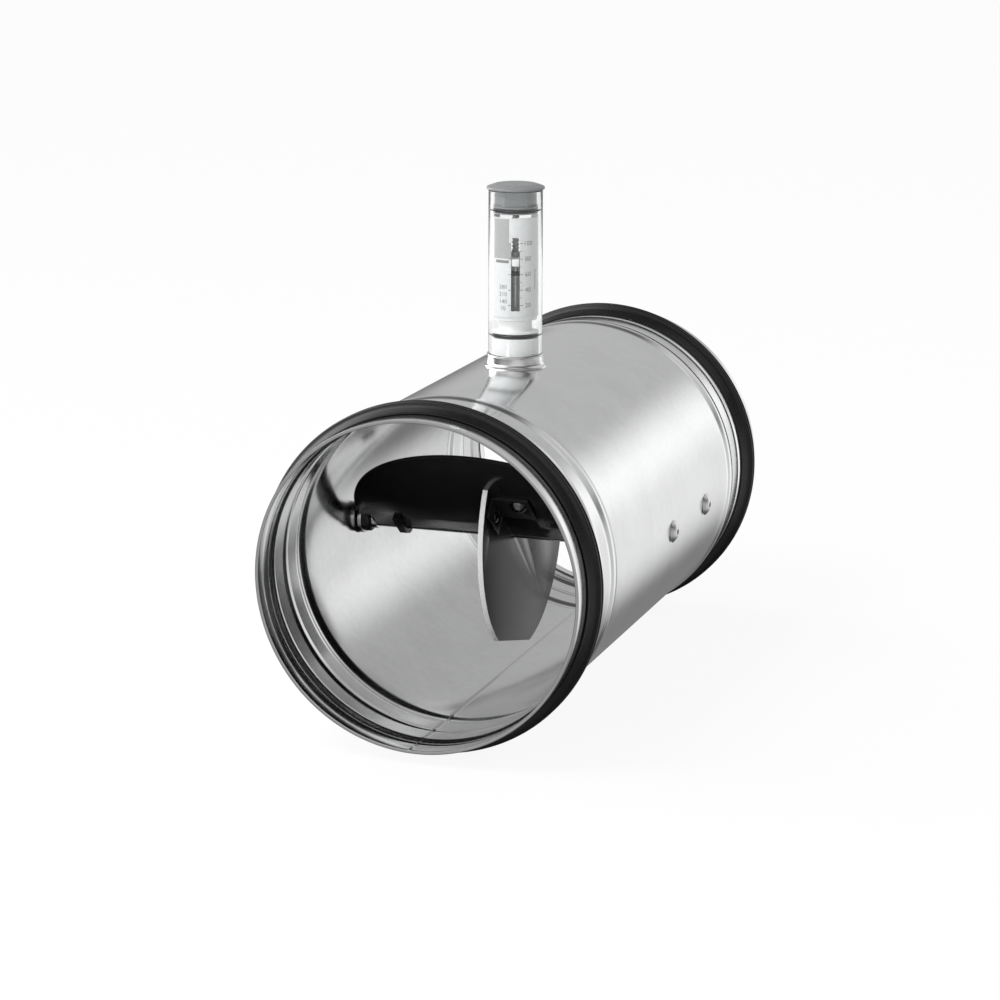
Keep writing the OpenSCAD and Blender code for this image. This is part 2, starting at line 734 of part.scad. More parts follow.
module tube_socket()
    color("silver")
    difference() {
        on_tube() rotate_extrude() difference() {
            union() {
                translate([socket_ri, 0]) square([tube_r - socket_ri, tube_z0]);
                translate([socket_ri, casing_r - foot_w])
                    square([foot_r - socket_ri, foot_w + hem_round]);
                difference() {
                    translate([socket_ri, casing_r])
                        square([foot_r - socket_ri, foot_w + hem_round]);
                    translate([foot_r, casing_r + foot_w + hem_round]) circle(r = foot_w);
                }
                translate([tube_r, tube_z0 - hem_round]) circle(r = hem_round);
            }
            translate([socket_ri, tube_z0]) square(foot_r);
        }
        along_y() cylinder(h = casing_l, r = casing_r + seat_gap);
    }

module tube_base()
    color("white")
    on_tube() rotate_extrude() difference() {
        union() {
            translate([0, tube_z0 - base_stem_l]) square([base_r, base_stem_l + low_ring_z - tube_z0]);
            translate([0, low_ring_z]) square([base_r, ring_r + base_lip]);
            translate([0, low_ring_z]) square([base_neck_r, base_top - low_ring_z]);
            translate([0, base_top - base_lip]) square([base_r, base_lip]);
        }
        translate([ring_seat_r, low_ring_z - ring_r - fit_gap])
            square([base_r, ring_d + 2 * fit_gap]);
        translate([-base_bore_r, 0]) square([2 * base_bore_r, base_top + over]);
    }

module o_ring(z)
    color("black")
    on_tube() translate([0, 0, z]) rotate_extrude() translate([ring_mid_r, 0]) circle(r = ring_r, $fn = 24);

module lower_o_ring() o_ring(low_ring_z);

module upper_o_ring() o_ring(high_ring_z);

module clear_tube()
    color("lightcyan", 0.35)
    on_tube() difference() {
        rod_z(tube_z0, tube_z1, tube_r);
        rod_z(tube_z0 - over, tube_z1 + over, tube_ri);
    }

module scale_sleeve()
    color("whitesmoke")
    facing_scale() difference() {
        rod_z(base_top, scale_z1, scale_r);
        rod_z(base_top - over, scale_z1 + over, scale_r - scale_t);
        translate([-slot_w / 2, -scale_r - over, base_top + slot_at]) cube([slot_w, scale_r, slot_l]);
        translate([0, 0, base_top - over]) linear_extrude(scale_l + 2 * over)
            polygon([[0, 0], for (a = [-1, 1]) 2 * scale_r * [a * sin(scale_gap / 2), cos(scale_gap / 2)]]);
    }

module knob_cap()
    color("gray")
    facing_scale() difference() {
        union() {
            rotate_extrude() polygon([[0, knob_z0], [knob_d / 2, knob_z0], [knob_d / 2, knob_z1],
                [knob_top_d / 2, knob_z2], [0, knob_z2]]);
            rod_z(high_ring_z + ring_r + fit_gap, knob_z0 + fit_gap, plug_neck_d / 2, $fn = 6);
            rod_z(high_ring_z + ring_r + fit_gap, high_ring_z + ring_r + plug_lip + fit_gap, plug_r);
            rod_z(plug_z0, plug_z0 + plug_lip, plug_r);
            rod_z(plug_z0, high_ring_z + ring_r + plug_lip, ring_seat_r);
        }
        rod_z(plug_z0 - over, spindle_z1, spindle_r + fit_gap);
    }

module spindle()
    color("darkgray")
    on_tube() rod_z(spindle_z0, spindle_z1, spindle_r);

module indicator_sleeve()
    color("darkgray")
    on_tube() difference() {
        rod_z(sleeve_z0, sleeve_z1, sleeve_r);
        rod_z(sleeve_z0 + sleeve_end, sleeve_z1 + over, sleeve_ri);
    }

module pointer()
    color("white")
    facing_scale() difference() {
        union() {
            rod_z(pointer_z, pointer_z + pointer_h, pointer_d / 2);
            translate([-pointer_w / 2, -tube_ri + free_gap, pointer_z])
                cube([pointer_w, tube_ri - sleeve_r, pointer_h]);
        }
        rod_z(pointer_z - over, pointer_z + pointer_h + over, sleeve_r + fit_gap);
    }

module indicator_mark()
    color("dimgray")
    on_tube() difference() {
        rod_z(mark_z, mark_z + mark_h, mark_d / 2);
        rod_z(mark_z - over, mark_z + mark_h + over, sleeve_r + fit_gap);
    }

module spring_hanger()
    color("silver")
    on_tube() {
        rod_z(hanger_z0 - fit_gap, sleeve_z0, hanger_d / 2);
        rod_z(hanger_z0 - flange_t, hanger_z0, flange_d / 2);
        rod_z(hanger_z0 - flange_t - core_l, hanger_z0, core_r);
    }

module pull_rod_plug()
    color("silver")
    on_tube() {
        rod_z(pull_z1 - flange_t, pull_z1, flange_d / 2);
        rod_z(pull_z1 - flange_t, pull_z1 + core_l, core_r);
    }

// Centre line of the spring: one straight wire diameter, the coils, one straight wire diameter
coil_n = coils * coil_rings;
coil_climb = coil_l / full_turn / coils;
function coil_at(a) = [coil_d / 2 * cos(a), coil_d / 2 * sin(a), spring_z0 + coil_climb * a];
function coil_dir(a) = [-sin(a), cos(a), 0];
spring_line = concat([coil_at(0) - wire_d * coil_dir(0)],
    [for (i = [0:coil_n]) coil_at(full_turn * i / coil_rings)],
    [coil_at(full_turn * coils) + wire_d * coil_dir(0)]);
// Angle of the ring at each point, the straight ends keep that of the first and last turn
spring_turn = concat([0], [for (i = [0:coil_n]) full_turn * i / coil_rings], [full_turn * coils]);
function wire_ring(p, a) = [for (k = [0:coil_sides - 1])
    p + wire_r * (cos(full_turn * k / coil_sides) * [cos(a), sin(a), 0]
    + sin(full_turn * k / coil_sides) * [0, 0, 1])];
// Least distance between the wire's surface in one turn and in the next
spring_gap = min([for (i = [1:coil_n - coil_rings], j = [i + coil_rings - 1:i + coil_rings + 1])
    if (j <= coil_n) norm(spring_line[i] - spring_line[j])]) - wire_d;
echo(spring_gap = spring_gap);

module tension_spring()
    color("silver")
    on_tube() {
        rings = len(spring_line);
        sides = coil_sides;
        points = [for (i = [0:rings - 1]) each wire_ring(spring_line[i], spring_turn[i])];
        walls = [for (i = [0:rings - 2], k = [0:sides - 1])
            let (a = i * sides + k, b = i * sides + (k + 1) % sides)
            each [[a, a + sides, b], [b, a + sides, b + sides]]];
        first_end = [for (k = [1:sides - 2]) [0, k, k + 1]];
        last = (rings - 1) * sides;
        last_end = [for (k = [1:sides - 2]) [last, last + k + 1, last + k]];
        polyhedron(points, concat(walls, first_end, last_end));
    }

module pull_rod()
    color("silver") {
        on_tube() rod_z(pin_z + pull_half + eye_wall - fit_gap, pull_z1 - flange_t, pull_d / 2);
        slab(-eye_t / 2, eye_t / 2) translate([pin_y, pin_z]) difference() {
            translate([-pin_r - pull_play - eye_wall, -pull_half - eye_wall])
                square([pull_play + 2 * (pin_r + eye_wall) + free_gap, 2 * (pull_half + eye_wall)]);
            translate([-pin_r - pull_play, -pull_half])
                square([pull_play + 2 * pin_r + free_gap, 2 * pull_half]);
        }
    }

casing();
inlet_seal();
outlet_seal();
left_bearing_bracket();
right_bearing_bracket();
left_bush();
right_bush();
flank_screws();
flank_nuts();
shaft();
shaft_collars();
blade();
blade_clips();
blade_hub();
cam_plate();
plate_bracket();
plate_fasteners();
crank_pin();
crank_arm();
dashpot_holder();
dashpot_cylinder();
dashpot_caps();
dashpot_piston();
dashpot_rod();
tube_socket();
tube_base();
lower_o_ring();
clear_tube();
scale_sleeve();
knob_cap();
upper_o_ring();
spindle();
indicator_sleeve();
pointer();
indicator_mark();
spring_hanger();
tension_spring();
pull_rod_plug();
pull_rod();
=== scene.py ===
"""Constant air volume damper for a round duct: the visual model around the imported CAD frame.

Sizes are in millimetres in the CAD frame and become metres where a mesh is made.
"""

from math import asin, cos, exp, pi, radians, sin, sqrt

import bpy
import bmesh
from mathutils import Matrix, Vector


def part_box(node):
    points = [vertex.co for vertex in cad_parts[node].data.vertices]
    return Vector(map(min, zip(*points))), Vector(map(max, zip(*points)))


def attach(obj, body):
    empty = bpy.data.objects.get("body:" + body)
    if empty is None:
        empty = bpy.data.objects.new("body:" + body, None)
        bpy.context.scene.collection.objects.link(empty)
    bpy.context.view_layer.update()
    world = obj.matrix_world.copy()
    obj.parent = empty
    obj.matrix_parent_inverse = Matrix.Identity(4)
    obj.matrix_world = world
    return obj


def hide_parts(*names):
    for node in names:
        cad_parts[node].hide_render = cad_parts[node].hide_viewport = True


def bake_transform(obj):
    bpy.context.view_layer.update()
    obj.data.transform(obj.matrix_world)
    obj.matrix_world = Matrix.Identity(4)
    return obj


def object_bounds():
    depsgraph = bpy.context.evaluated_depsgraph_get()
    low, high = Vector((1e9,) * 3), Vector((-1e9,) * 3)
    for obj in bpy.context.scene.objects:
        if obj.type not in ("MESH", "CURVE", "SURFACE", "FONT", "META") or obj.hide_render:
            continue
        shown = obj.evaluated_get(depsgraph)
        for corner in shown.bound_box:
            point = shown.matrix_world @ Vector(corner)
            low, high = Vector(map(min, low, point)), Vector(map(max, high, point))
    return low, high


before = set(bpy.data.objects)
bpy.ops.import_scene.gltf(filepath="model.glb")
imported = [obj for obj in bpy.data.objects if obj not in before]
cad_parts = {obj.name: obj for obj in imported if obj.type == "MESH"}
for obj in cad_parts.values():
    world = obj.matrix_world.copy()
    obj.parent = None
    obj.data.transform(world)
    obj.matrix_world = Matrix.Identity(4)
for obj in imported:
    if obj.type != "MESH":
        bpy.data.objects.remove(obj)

CAD_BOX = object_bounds()
MM = 0.001


def low(node):
    """Least x, y and z of a CAD node, in millimetres."""
    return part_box(node)[0] / MM


def high(node):
    """Greatest x, y and z of a CAD node, in millimetres."""
    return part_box(node)[1] / MM


# ---------------------------------------------------------------- sizes, as in the CAD
CASING_L = 250.0
CASING_R = 62.25
SHEET = 0.7
HEM_T, HEM_L = 1.3, 5.0
# Place from the mouth, half width and height of each rolled groove and bead
RIDGES = ((10.2, 1.5, -0.3), (14.3, 2.6, -1.0), (27.0, 2.6, -0.3), (42.0, 5.0, 0.9))
ROLL_FROM, ROLL_TO, ROLL_STEPS = 8.7, 47.0, 84
MIDDLE_HALF, MIDDLE_STEPS = 70, 6
SKIN_GAP = 0.05
SEAL_AT, SEAL_L, LIP_H = 10.2, 12.4, 3.85
SHAFT_Y, SHAFT_Z, SHAFT_R = 104.0, -2.3, 3.0
BLADE_TILT = 40.2
BLADE_R, BLADE_CENTRE, BLADE_EDGE = 58.3, 8.5, -4.2
BLADE_Z0, BLADE_Z1 = -4.2, -3.0
NOTCH_X, NOTCH_H = 53.4, 11.0
TUBE_Y = 113.0
TUBE_R, TUBE_RI = 10.45, 9.0
TUBE_Z0, TUBE_Z1 = 66.6, 130.2
BASE_TOP = 81.8
SCALE_R = 8.85
SCALE_TOP = 120.2
SCALE_TURN = 18.7
SCREW_YS = (122.2, 170.0)
HEAD_R, HEAD_H, HEAD_EDGE, SHANK_R = 4.4, 2.1, 0.15, 1.96
SOCKET_R, HEXAGON_R, HEXAGON_DEPTH = 1.5, 1.25, 1.3
NUT_T, NUT_R, NUT_BORE_R, NUT_CHAMFER = 3, 3.9, 2.0, 0.5
COLLAR_R, COLLAR_L, GRUB_R = 3.9, 2.1, 0.55
DASH_R, DASH_RI, DASH_ROD_R, CAP_R, PISTON_R = 6.2, 5.0, 1.05, 4.98, 4.92
KNOB_R, KNOB_TOP_R, PLUG_R, RING_SEAT_R = 11.2, 7.8, 8.7, 7.33

# ---------------------------------------------------------------- frames of reference
BLADE_FRAME = Matrix.Translation((0, SHAFT_Y, SHAFT_Z)) @ Matrix.Rotation(radians(-BLADE_TILT), 4, "X")
ON_TUBE = Matrix.Translation((0, TUBE_Y, 0))
FACING = ON_TUBE @ Matrix.Rotation(radians(SCALE_TURN), 4, "Z")


def along_x(x, y, z):
    """Frame whose Z runs along the duct's X from the point."""
    return Matrix.Translation((x, y, z)) @ Matrix.Rotation(radians(90), 4, "Y")


def along_y(x, y, z):
    """Frame whose Z runs along the duct's Y from the point."""
    return Matrix.Translation((x, y, z)) @ Matrix.Rotation(radians(-90), 4, "X")


# ---------------------------------------------------------------- materials
PATCH_SCALE = 0.3
SPANGLE_SCALE, LINE_SCALE, CLOUD_SCALE = 320.0, 900.0, 45.0
SPANGLE_SHARE = 0.25
ACRYLIC_IOR = 1.49


def new_material(name):
    """An empty material with a Principled shader on its output."""
    mat = bpy.data.materials.new(name)
    mat.use_nodes = True
    tree = mat.node_tree
    tree.nodes.clear()
    out = tree.nodes.new("ShaderNodeOutputMaterial")
    shader = tree.nodes.new("ShaderNodeBsdfPrincipled")
    tree.links.new(shader.outputs[0], out.inputs["Surface"])
    return mat, tree, shader, out


def coordinates(tree, stretch=(1, 1, 1)):
    """The object's own coordinates in metres, stretched."""
    source = tree.nodes.new("ShaderNodeTexCoord")
    mapping = tree.nodes.new("ShaderNodeMapping")
    mapping.inputs["Scale"].default_value = stretch
    tree.links.new(source.outputs["Object"], mapping.inputs["Vector"])
    return mapping.outputs[0]


def noise(tree, vector, scale, detail):
    """A noise of about 0.3 to 0.7 over the vector."""
    node = tree.nodes.new("ShaderNodeTexNoise")
    node.inputs["Scale"].default_value = scale
    node.inputs["Detail"].default_value = detail
    node.inputs["Roughness"].default_value = 0.55
    tree.links.new(vector, node.inputs["Vector"])
    return node.outputs["Fac"]


def ranged(tree, value, from_min, from_max, to_min, to_max, kind="LINEAR"):
    """A value carried from one range to another."""
    node = tree.nodes.new("ShaderNodeMapRange")
    node.interpolation_type = kind
    for key, number in zip(("From Min", "From Max", "To Min", "To Max"), (from_min, from_max, to_min, to_max)):
        node.inputs[key].default_value = number
    tree.links.new(value, node.inputs["Value"])
    return node.outputs[0]


def spread(tree, value, least, most):
    """The middle of a noise's range stretched between two numbers."""
    return ranged(tree, value, 0.3, 0.7, least, most)


def two_tone(tree, value, dark, light, at):
    """A blend from the dark to the light colour between two places of the value's range."""
    ramp = tree.nodes.new("ShaderNodeValToRGB")
    ramp.color_ramp.elements[0].position, ramp.color_ramp.elements[1].position = at
    ramp.color_ramp.elements[0].color = (*dark, 1)
    ramp.color_ramp.elements[1].color = (*light, 1)
    tree.links.new(value, ramp.inputs[0])
    return ramp.outputs[0]


def bump(tree, shader, height, strength, distance):
    """Fine relief on a shader from a height between 0 and 1."""
    node = tree.nodes.new("ShaderNodeBump")
    node.inputs["Strength"].default_value = strength
    node.inputs["Distance"].default_value = distance
    tree.links.new(height, node.inputs["Height"])
    tree.links.new(node.outputs[0], shader.inputs["Normal"])


def finish_of(name, dark, light, rough, scale, strength, metal=0.0, stretch=(1, 1, 1), distance=0.00002,
              level=0.5):
    """A surface with colour, roughness and relief varied by noise in its own coordinates."""
    mat, tree, shader, _ = new_material(name)
    shader.inputs["Metallic"].default_value = metal
    shader.inputs["Specular IOR Level"].default_value = level
    grain = noise(tree, coordinates(tree, stretch), scale, 3.0)
    tree.links.new(two_tone(tree, grain, dark, light, (0.35, 0.65)), shader.inputs["Base Color"])
    patchy = noise(tree, coordinates(tree), scale * PATCH_SCALE, 2.0)
    tree.links.new(spread(tree, patchy, *rough), shader.inputs["Roughness"])
    bump(tree, shader, grain, strength, distance)
    return mat


def grey(v, tint=0.0):
    """A grey, leaning to blue by the tint."""
    return (v * (1 - tint), v, v * (1 + tint))


def galvanised(name, stretch, dark, light, rough):
    """Zinc coated sheet: pale metal with a faint spangle and fine rolling lines along the sheet."""
    mat, tree, shader, _ = new_material(name)
    shader.inputs["Metallic"].default_value = 1.0
    where = coordinates(tree)
    cells = tree.nodes.new("ShaderNodeTexVoronoi")
    cells.inputs["Scale"].default_value = SPANGLE_SCALE
    tree.links.new(where, cells.inputs["Vector"])
    lines = noise(tree, coordinates(tree, stretch), LINE_SCALE, 2.0)
    cloud = noise(tree, where, CLOUD_SCALE, 3.0)
    mixed = tree.nodes.new("ShaderNodeMath")
    mixed.operation = "MULTIPLY_ADD"
    mixed.inputs[1].default_value = SPANGLE_SHARE
    tree.links.new(cells.outputs["Distance"], mixed.inputs[0])
    tree.links.new(cloud, mixed.inputs[2])
    tree.links.new(two_tone(tree, mixed.outputs[0], grey(dark, 0.004), grey(light, 0.004), (0.4, 0.8)),
                   shader.inputs["Base Color"])
    tree.links.new(spread(tree, cloud, *rough), shader.inputs["Roughness"])
    bump(tree, shader, lines, 0.07, 0.000005)
    return mat


def math_node(tree, operation, one, other):
    """The result of a Math node on a socket and another socket or a number."""
    node = tree.nodes.new("ShaderNodeMath")
    node.operation = operation
    tree.links.new(one, node.inputs[0])
    if isinstance(other, float):
        node.inputs[1].default_value = other
    else:
        tree.links.new(other, node.inputs[1])
    return node.outputs[0]


def blended(tree, share, one, other, out):
    """Sends a blend of two shaders to the output."""
    mix = tree.nodes.new("ShaderNodeMixShader")
    for socket, value in zip(mix.inputs, (share, one, other)):
        tree.links.new(value, socket)
    tree.links.new(mix.outputs[0], out.inputs["Surface"])


def clear_plastic(name):
    """Clear acrylic that lets lamp and sky light through to what it holds."""
    mat, tree, shader, out = new_material(name)
    shader.inputs["Base Color"].default_value = (0.985, 0.99, 0.99, 1)
    shader.inputs["Transmission Weight"].default_value = 1.0
    shader.inputs["IOR"].default_value = ACRYLIC_IOR
    scratches = noise(tree, coordinates(tree, (1, 1, 0.1)), 400.0, 2.0)
    tree.links.new(spread(tree, scratches, 0.0, 0.03), shader.inputs["Roughness"])
    path = tree.nodes.new("ShaderNodeLightPath")
    through = tree.nodes.new("ShaderNodeBsdfTransparent")
    through.inputs["Color"].default_value = (0.96, 0.97, 0.97, 1)
    soft = math_node(tree, "MAXIMUM", path.outputs["Is Shadow Ray"], path.outputs["Is Diffuse Ray"])
    blended(tree, soft, shader.outputs[0], through.outputs[0], out)
    return mat


ZINC = galvanised("zinc_sheet", (1, 0.02, 1), 0.78, 0.84, (0.12, 0.17))
# The same zinc made darker for the duct's inner faces: painted shade for its dim inside
ZINC_PAINTED_SHADE = galvanised("zinc_painted_shade", (1, 0.02, 1), 0.62, 0.68, (0.12, 0.17))
STRIP = galvanised("zinc_strip", (1, 0.05, 1), 0.62, 0.72, (0.20, 0.30))
RUBBER = finish_of("lip_rubber", grey(0.005), grey(0.009), (0.27, 0.35), scale=1200, strength=0.08,
                   level=0.4)
RING = finish_of("ring_rubber", grey(0.010), grey(0.018), (0.30, 0.42), scale=1500, strength=0.1)
BLADE = finish_of("blade_black", grey(0.006), grey(0.009), (0.10, 0.15), scale=900, strength=0.02,
                  distance=0.000005)
CLIP = finish_of("clip_black", grey(0.007), grey(0.012), (0.30, 0.40), scale=1100, strength=0.1)
HUB = finish_of("hub_black", grey(0.008), grey(0.013), (0.32, 0.44), scale=1300, strength=0.1)
PLATE = finish_of("plate_steel", grey(0.155), grey(0.17), (0.22, 0.26), metal=0.9, scale=700,
                  stretch=(1, 0.3, 1), strength=0.02, distance=0.000003)
# Near-white edge of the steel plate: a painted highlight along its rim
PLATE_EDGE_HIGHLIGHT = finish_of("plate_rim", grey(0.90), grey(0.96), (0.40, 0.50), metal=0.1, scale=900, strength=0.06,
                      distance=0.000005)
STUD = finish_of("dark_stud", grey(0.20), grey(0.26), (0.10, 0.16), metal=1.0, scale=1400, strength=0.06,
                 distance=0.000006)
BRIGHT = finish_of("bright_steel", grey(0.66), grey(0.78), (0.18, 0.28), metal=1.0, scale=900,
                   stretch=(0.05, 1, 1), strength=0.08, distance=0.00001)
SCREW = finish_of("zinc_screw", grey(0.70), grey(0.82), (0.20, 0.32), metal=1.0, scale=1400, strength=0.1,
                  distance=0.00001)
TURNED = finish_of("turned_metal", grey(0.76), grey(0.86), (0.16, 0.26), metal=1.0, scale=900,
                   stretch=(0.1, 0.1, 1), strength=0.08, distance=0.00001)
DARK_PLASTIC = finish_of("dark_plastic", grey(0.05), grey(0.075), (0.38, 0.5), scale=1200,
                         strength=0.15)
WHITE = finish_of("white_plastic", grey(0.78), grey(0.84), (0.30, 0.42), scale=900, strength=0.06)
FILM = finish_of("scale_film", grey(0.68), grey(0.72), (0.34, 0.46), scale=700, strength=0.04)
INK = finish_of("scale_ink", grey(0.18), grey(0.22), (0.5, 0.6), scale=2500, strength=0.05)
GREY_FIELD = finish_of("scale_grey_field", grey(0.34), grey(0.40), (0.45, 0.55), scale=2000,
                     strength=0.05)
KNOB = finish_of("knob_grey", grey(0.20, 0.02), grey(0.25, 0.02), (0.34, 0.46), scale=1500,
                 strength=0.2)
THREAD = finish_of("thread_steel", grey(0.36), grey(0.48), (0.25, 0.38), metal=1.0, scale=1600, strength=0.1,
                   distance=0.00001)
MARK = finish_of("mark_dark", grey(0.03), grey(0.05), (0.4, 0.5), scale=1500, strength=0.1)
CLEAR = clear_plastic("clear_acrylic")


# ---------------------------------------------------------------- mesh building
HARD_ANGLE = 30.0


def keep(name, mesh, mat, body, nodes=(), sharp=32.0):
    """Adds a finished mesh to the scene, on its body, in place of its CAD nodes."""
    work = bmesh.new()
    work.from_mesh(mesh)
    bmesh.ops.remove_doubles(work, verts=work.verts, dist=2e-7)
    bmesh.ops.dissolve_degenerate(work, edges=work.edges, dist=1e-8)
    bmesh.ops.recalc_face_normals(work, faces=work.faces)
    work.to_mesh(mesh)
    work.free()
    mesh.shade_smooth()
    mesh.set_sharp_from_angle(angle=radians(sharp))
    if not mesh.materials:
        mesh.materials.append(mat)
    piece = place(name, mesh)
    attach(piece, body)
    if nodes:
        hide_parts(*nodes)
    return piece


def mesh_from(name, points, faces, matrix=Matrix.Identity(4)):
    """A mesh in metres from points in millimetres in the matrix's frame."""
    mesh = bpy.data.meshes.new(name)
    mesh.from_pydata([(matrix @ Vector(p)) * MM for p in points], [], faces)
    mesh.update()
    return mesh


def band_faces(rows, size, closed_rows=True, closed_size=True):
    """Four sided faces between rows of points that follow each other, size points to a row."""
    faces = []
    for k in range(rows if closed_rows else rows - 1):
        a, b = k * size, (k + 1) % rows * size
        for i in range(size if closed_size else size - 1):
            j = (i + 1) % size
            faces.append((a + i, b + i, b + j, a + j))
    return faces


def fillet(points, steps=4, closed=True):
    """Rounds the corners of (r, h, setback) points by curves of the given setback."""
    out, count = [], len(points)
    for i, p in enumerate(points):
        corner = Vector(p[:2])
        back = p[2] if len(p) > 2 else 0
        if not back or (not closed and i in (0, count - 1)):
            out.append(tuple(corner))
            continue
        before = Vector(points[i - 1][:2]) - corner
        after = Vector(points[(i + 1) % count][:2]) - corner
        back = min(back, before.length * 0.49, after.length * 0.49)
        start, end = corner + before.normalized() * back, corner + after.normalized() * back
        for k in range(steps + 1):
            t = k / steps
            out.append(tuple((1 - t) ** 2 * start + 2 * t * (1 - t) * corner + t * t * end))
    return out


def turned(name, profile, matrix, count=96, closed=True, angles=None, shift=None):
    """A profile of (r, h) points turned about the matrix's Z. shift moves a point by its angle and index."""
    angles = angles or [2 * pi * k / count for k in range(count)]
    points = []
    for angle in angles:
        for i, (r, h) in enumerate(profile):
            r += shift(angle, i, h) if shift else 0
            points.append((r * cos(angle), r * sin(angle), h))
    return mesh_from(name, points, band_faces(len(angles), len(profile), closed_size=closed), matrix)


def joined(name, meshes):
    """One mesh of several."""
    work = bmesh.new()
    for mesh in meshes:
        work.from_mesh(mesh)
    whole = bpy.data.meshes.new(name)
    work.to_mesh(whole)
    work.free()
    return whole


def prism(name, outline, z0, z1, matrix, edge, steps=2):
    """An outline raised from z0 to z1, with all its hard edges rounded."""
    count = len(outline)
    points = [(x, y, z0) for x, y in outline] + [(x, y, z1) for x, y in outline]
    faces = [tuple(reversed(range(count))), tuple(range(count, 2 * count))]
    faces += [(i, (i + 1) % count, (i + 1) % count + count, i + count) for i in range(count)]
    mesh = mesh_from(name, points, faces, matrix)
    return eased(mesh, edge, steps)


def eased(mesh, edge, steps):
    """Rounds the hard edges of a mesh."""
    if not edge:
        return mesh
    work = bmesh.new()
    work.from_mesh(mesh)
    bmesh.ops.recalc_face_normals(work, faces=work.faces)
    hard = [e for e in work.edges if e.is_manifold and e.calc_face_angle() > radians(HARD_ANGLE)]
    bmesh.ops.bevel(work, geom=hard, offset=edge * MM, offset_type="OFFSET", segments=steps,
                    profile=0.5, affect="EDGES", clamp_overlap=True)
    work.to_mesh(mesh)
    work.free()
    return mesh


def from_cad(node, edge, steps=2):
    """A copy of a CAD node's solid with clean flat faces and rounded hard edges."""
    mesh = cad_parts[node].data.copy()
    mesh.materials.clear()
    work = bmesh.new()
    work.from_mesh(mesh)
    bmesh.ops.remove_doubles(work, verts=work.verts, dist=3e-6)
    bmesh.ops.dissolve_limit(work, angle_limit=radians(0.2), verts=work.verts, edges=work.edges)
    work.to_mesh(mesh)
    work.free()
    return eased(mesh, edge, steps)


def hexagon(radius, turn=0):
    """The corners of a hexagon, turned by degrees."""
    return [(radius * cos(radians(60 * k + turn)), radius * sin(radians(60 * k + turn))) for k in range(6)]


def evaluated(item):
    """The mesh that Blender makes of an object."""
    bpy.context.view_layer.update()
    return bpy.data.meshes.new_from_object(item.evaluated_get(bpy.context.evaluated_depsgraph_get()))


def place(name, data):
    """A new object in the scene that carries the data."""
    item = bpy.data.objects.new(name, data)
    bpy.context.scene.collection.objects.link(item)
    return item


def cut(mesh, tool):
    """The mesh with the tool's volume taken out."""
    base, helper = place("cut_base", mesh), place("cut_tool", tool)
    modifier = base.modifiers.new("cut", "BOOLEAN")
    modifier.operation, modifier.solver, modifier.object = "DIFFERENCE", "EXACT", helper
    done = evaluated(base)
    for thing in (base, helper):
        bpy.data.objects.remove(thing)
    return done


def swept(name, path, radius, sides, matrix):
    """A round wire along a path of points, with closed ends."""
    points, side = [], None
    for i, p in enumerate(path):
        ahead = (path[min(i + 1, len(path) - 1)] - path[max(i - 1, 0)]).normalized()
        if side is None:
            side = ahead.orthogonal().normalized()
        side = (side - ahead * side.dot(ahead)).normalized()
        other = ahead.cross(side)
        points += [tuple(p + radius * (cos(2 * pi * k / sides) * side + sin(2 * pi * k / sides) * other))
                   for k in range(sides)]
    faces = []
    for i in range(len(path) - 1):
        a, b = i * sides, (i + 1) * sides
        faces += [(a + k, a + (k + 1) % sides, b + (k + 1) % sides, b + k) for k in range(sides)]
    faces += [tuple(reversed(range(sides))), tuple(range(len(points) - sides, len(points)))]
    return mesh_from(name, points, faces, matrix)


# ---------------------------------------------------------------- casing
def rolled(a):
    """How far the rolling moves the wall outward at a place along the duct."""
    return sum(h * (1 + cos(pi * (a - at) / w)) / 2 for at, w, h in RIDGES if abs(a - at) < w)


def flipped(side):
    """A mouth's profile mirrored to the other mouth."""
    return [(r, CASING_L - a) for r, a in reversed(side)]


def casing_profile():
    """The wall's closed profile from the mouth's hem on, and how many of its points lie outside."""
    hem_middle, hem_inside, wall = CASING_R - HEM_T / 2, CASING_R - HEM_T, CASING_R - SHEET
    steps = [ROLL_FROM + (ROLL_TO - ROLL_FROM) * k / ROLL_STEPS for k in range(ROLL_STEPS + 1)]
    outer = fillet([(hem_middle, 0), (CASING_R, 0, 0.5), (CASING_R, 3.0)], closed=False)
    outer += [(CASING_R + rolled(a), a) for a in steps]
    inner = fillet([(hem_middle, 0), (hem_inside, 0, 0.5), (hem_inside, HEM_L, 0.25),
                    (wall, HEM_L + 0.45, 0.2), (wall, HEM_L + 1.2)], closed=False)[1:]
    inner += [(wall + rolled(a), a) for a in steps]
    middle = [CASING_L / 2 + MIDDLE_HALF * k / MIDDLE_STEPS for k in range(-MIDDLE_STEPS, MIDDLE_STEPS + 1)]
    outside = outer + [(CASING_R, a) for a in middle] + flipped(outer)
    inside = inner + [(wall, a) for a in middle] + flipped(inner)
    return outside + list(reversed(inside)), len(outside)


# Angle, height, half width and run-out of the welded seam, and the angle between its fine steps
SEAM_AT, SEAM_H, SEAM_HALF, SEAM_FADE, SEAM_STEP = radians(90 + 2.1), 0.3, 0.45, 2.0, 0.0022
SEAM_STEPS, RING_STEPS = 9, 288
ALONG_DUCT = along_y(0, 0, 0)
PROFILE, OUTSIDE = casing_profile()


def seam(angle, i, h):
    """The welded seam stands in from the inner wall along the bottom of the duct."""
    if i < OUTSIDE:
        return 0
    off = (angle - SEAM_AT) * CASING_R
    fade = 1 - exp(-min(h, CASING_L - h) / SEAM_FADE)
    return -SEAM_H * exp(-(off / SEAM_HALF) ** 2) * fade


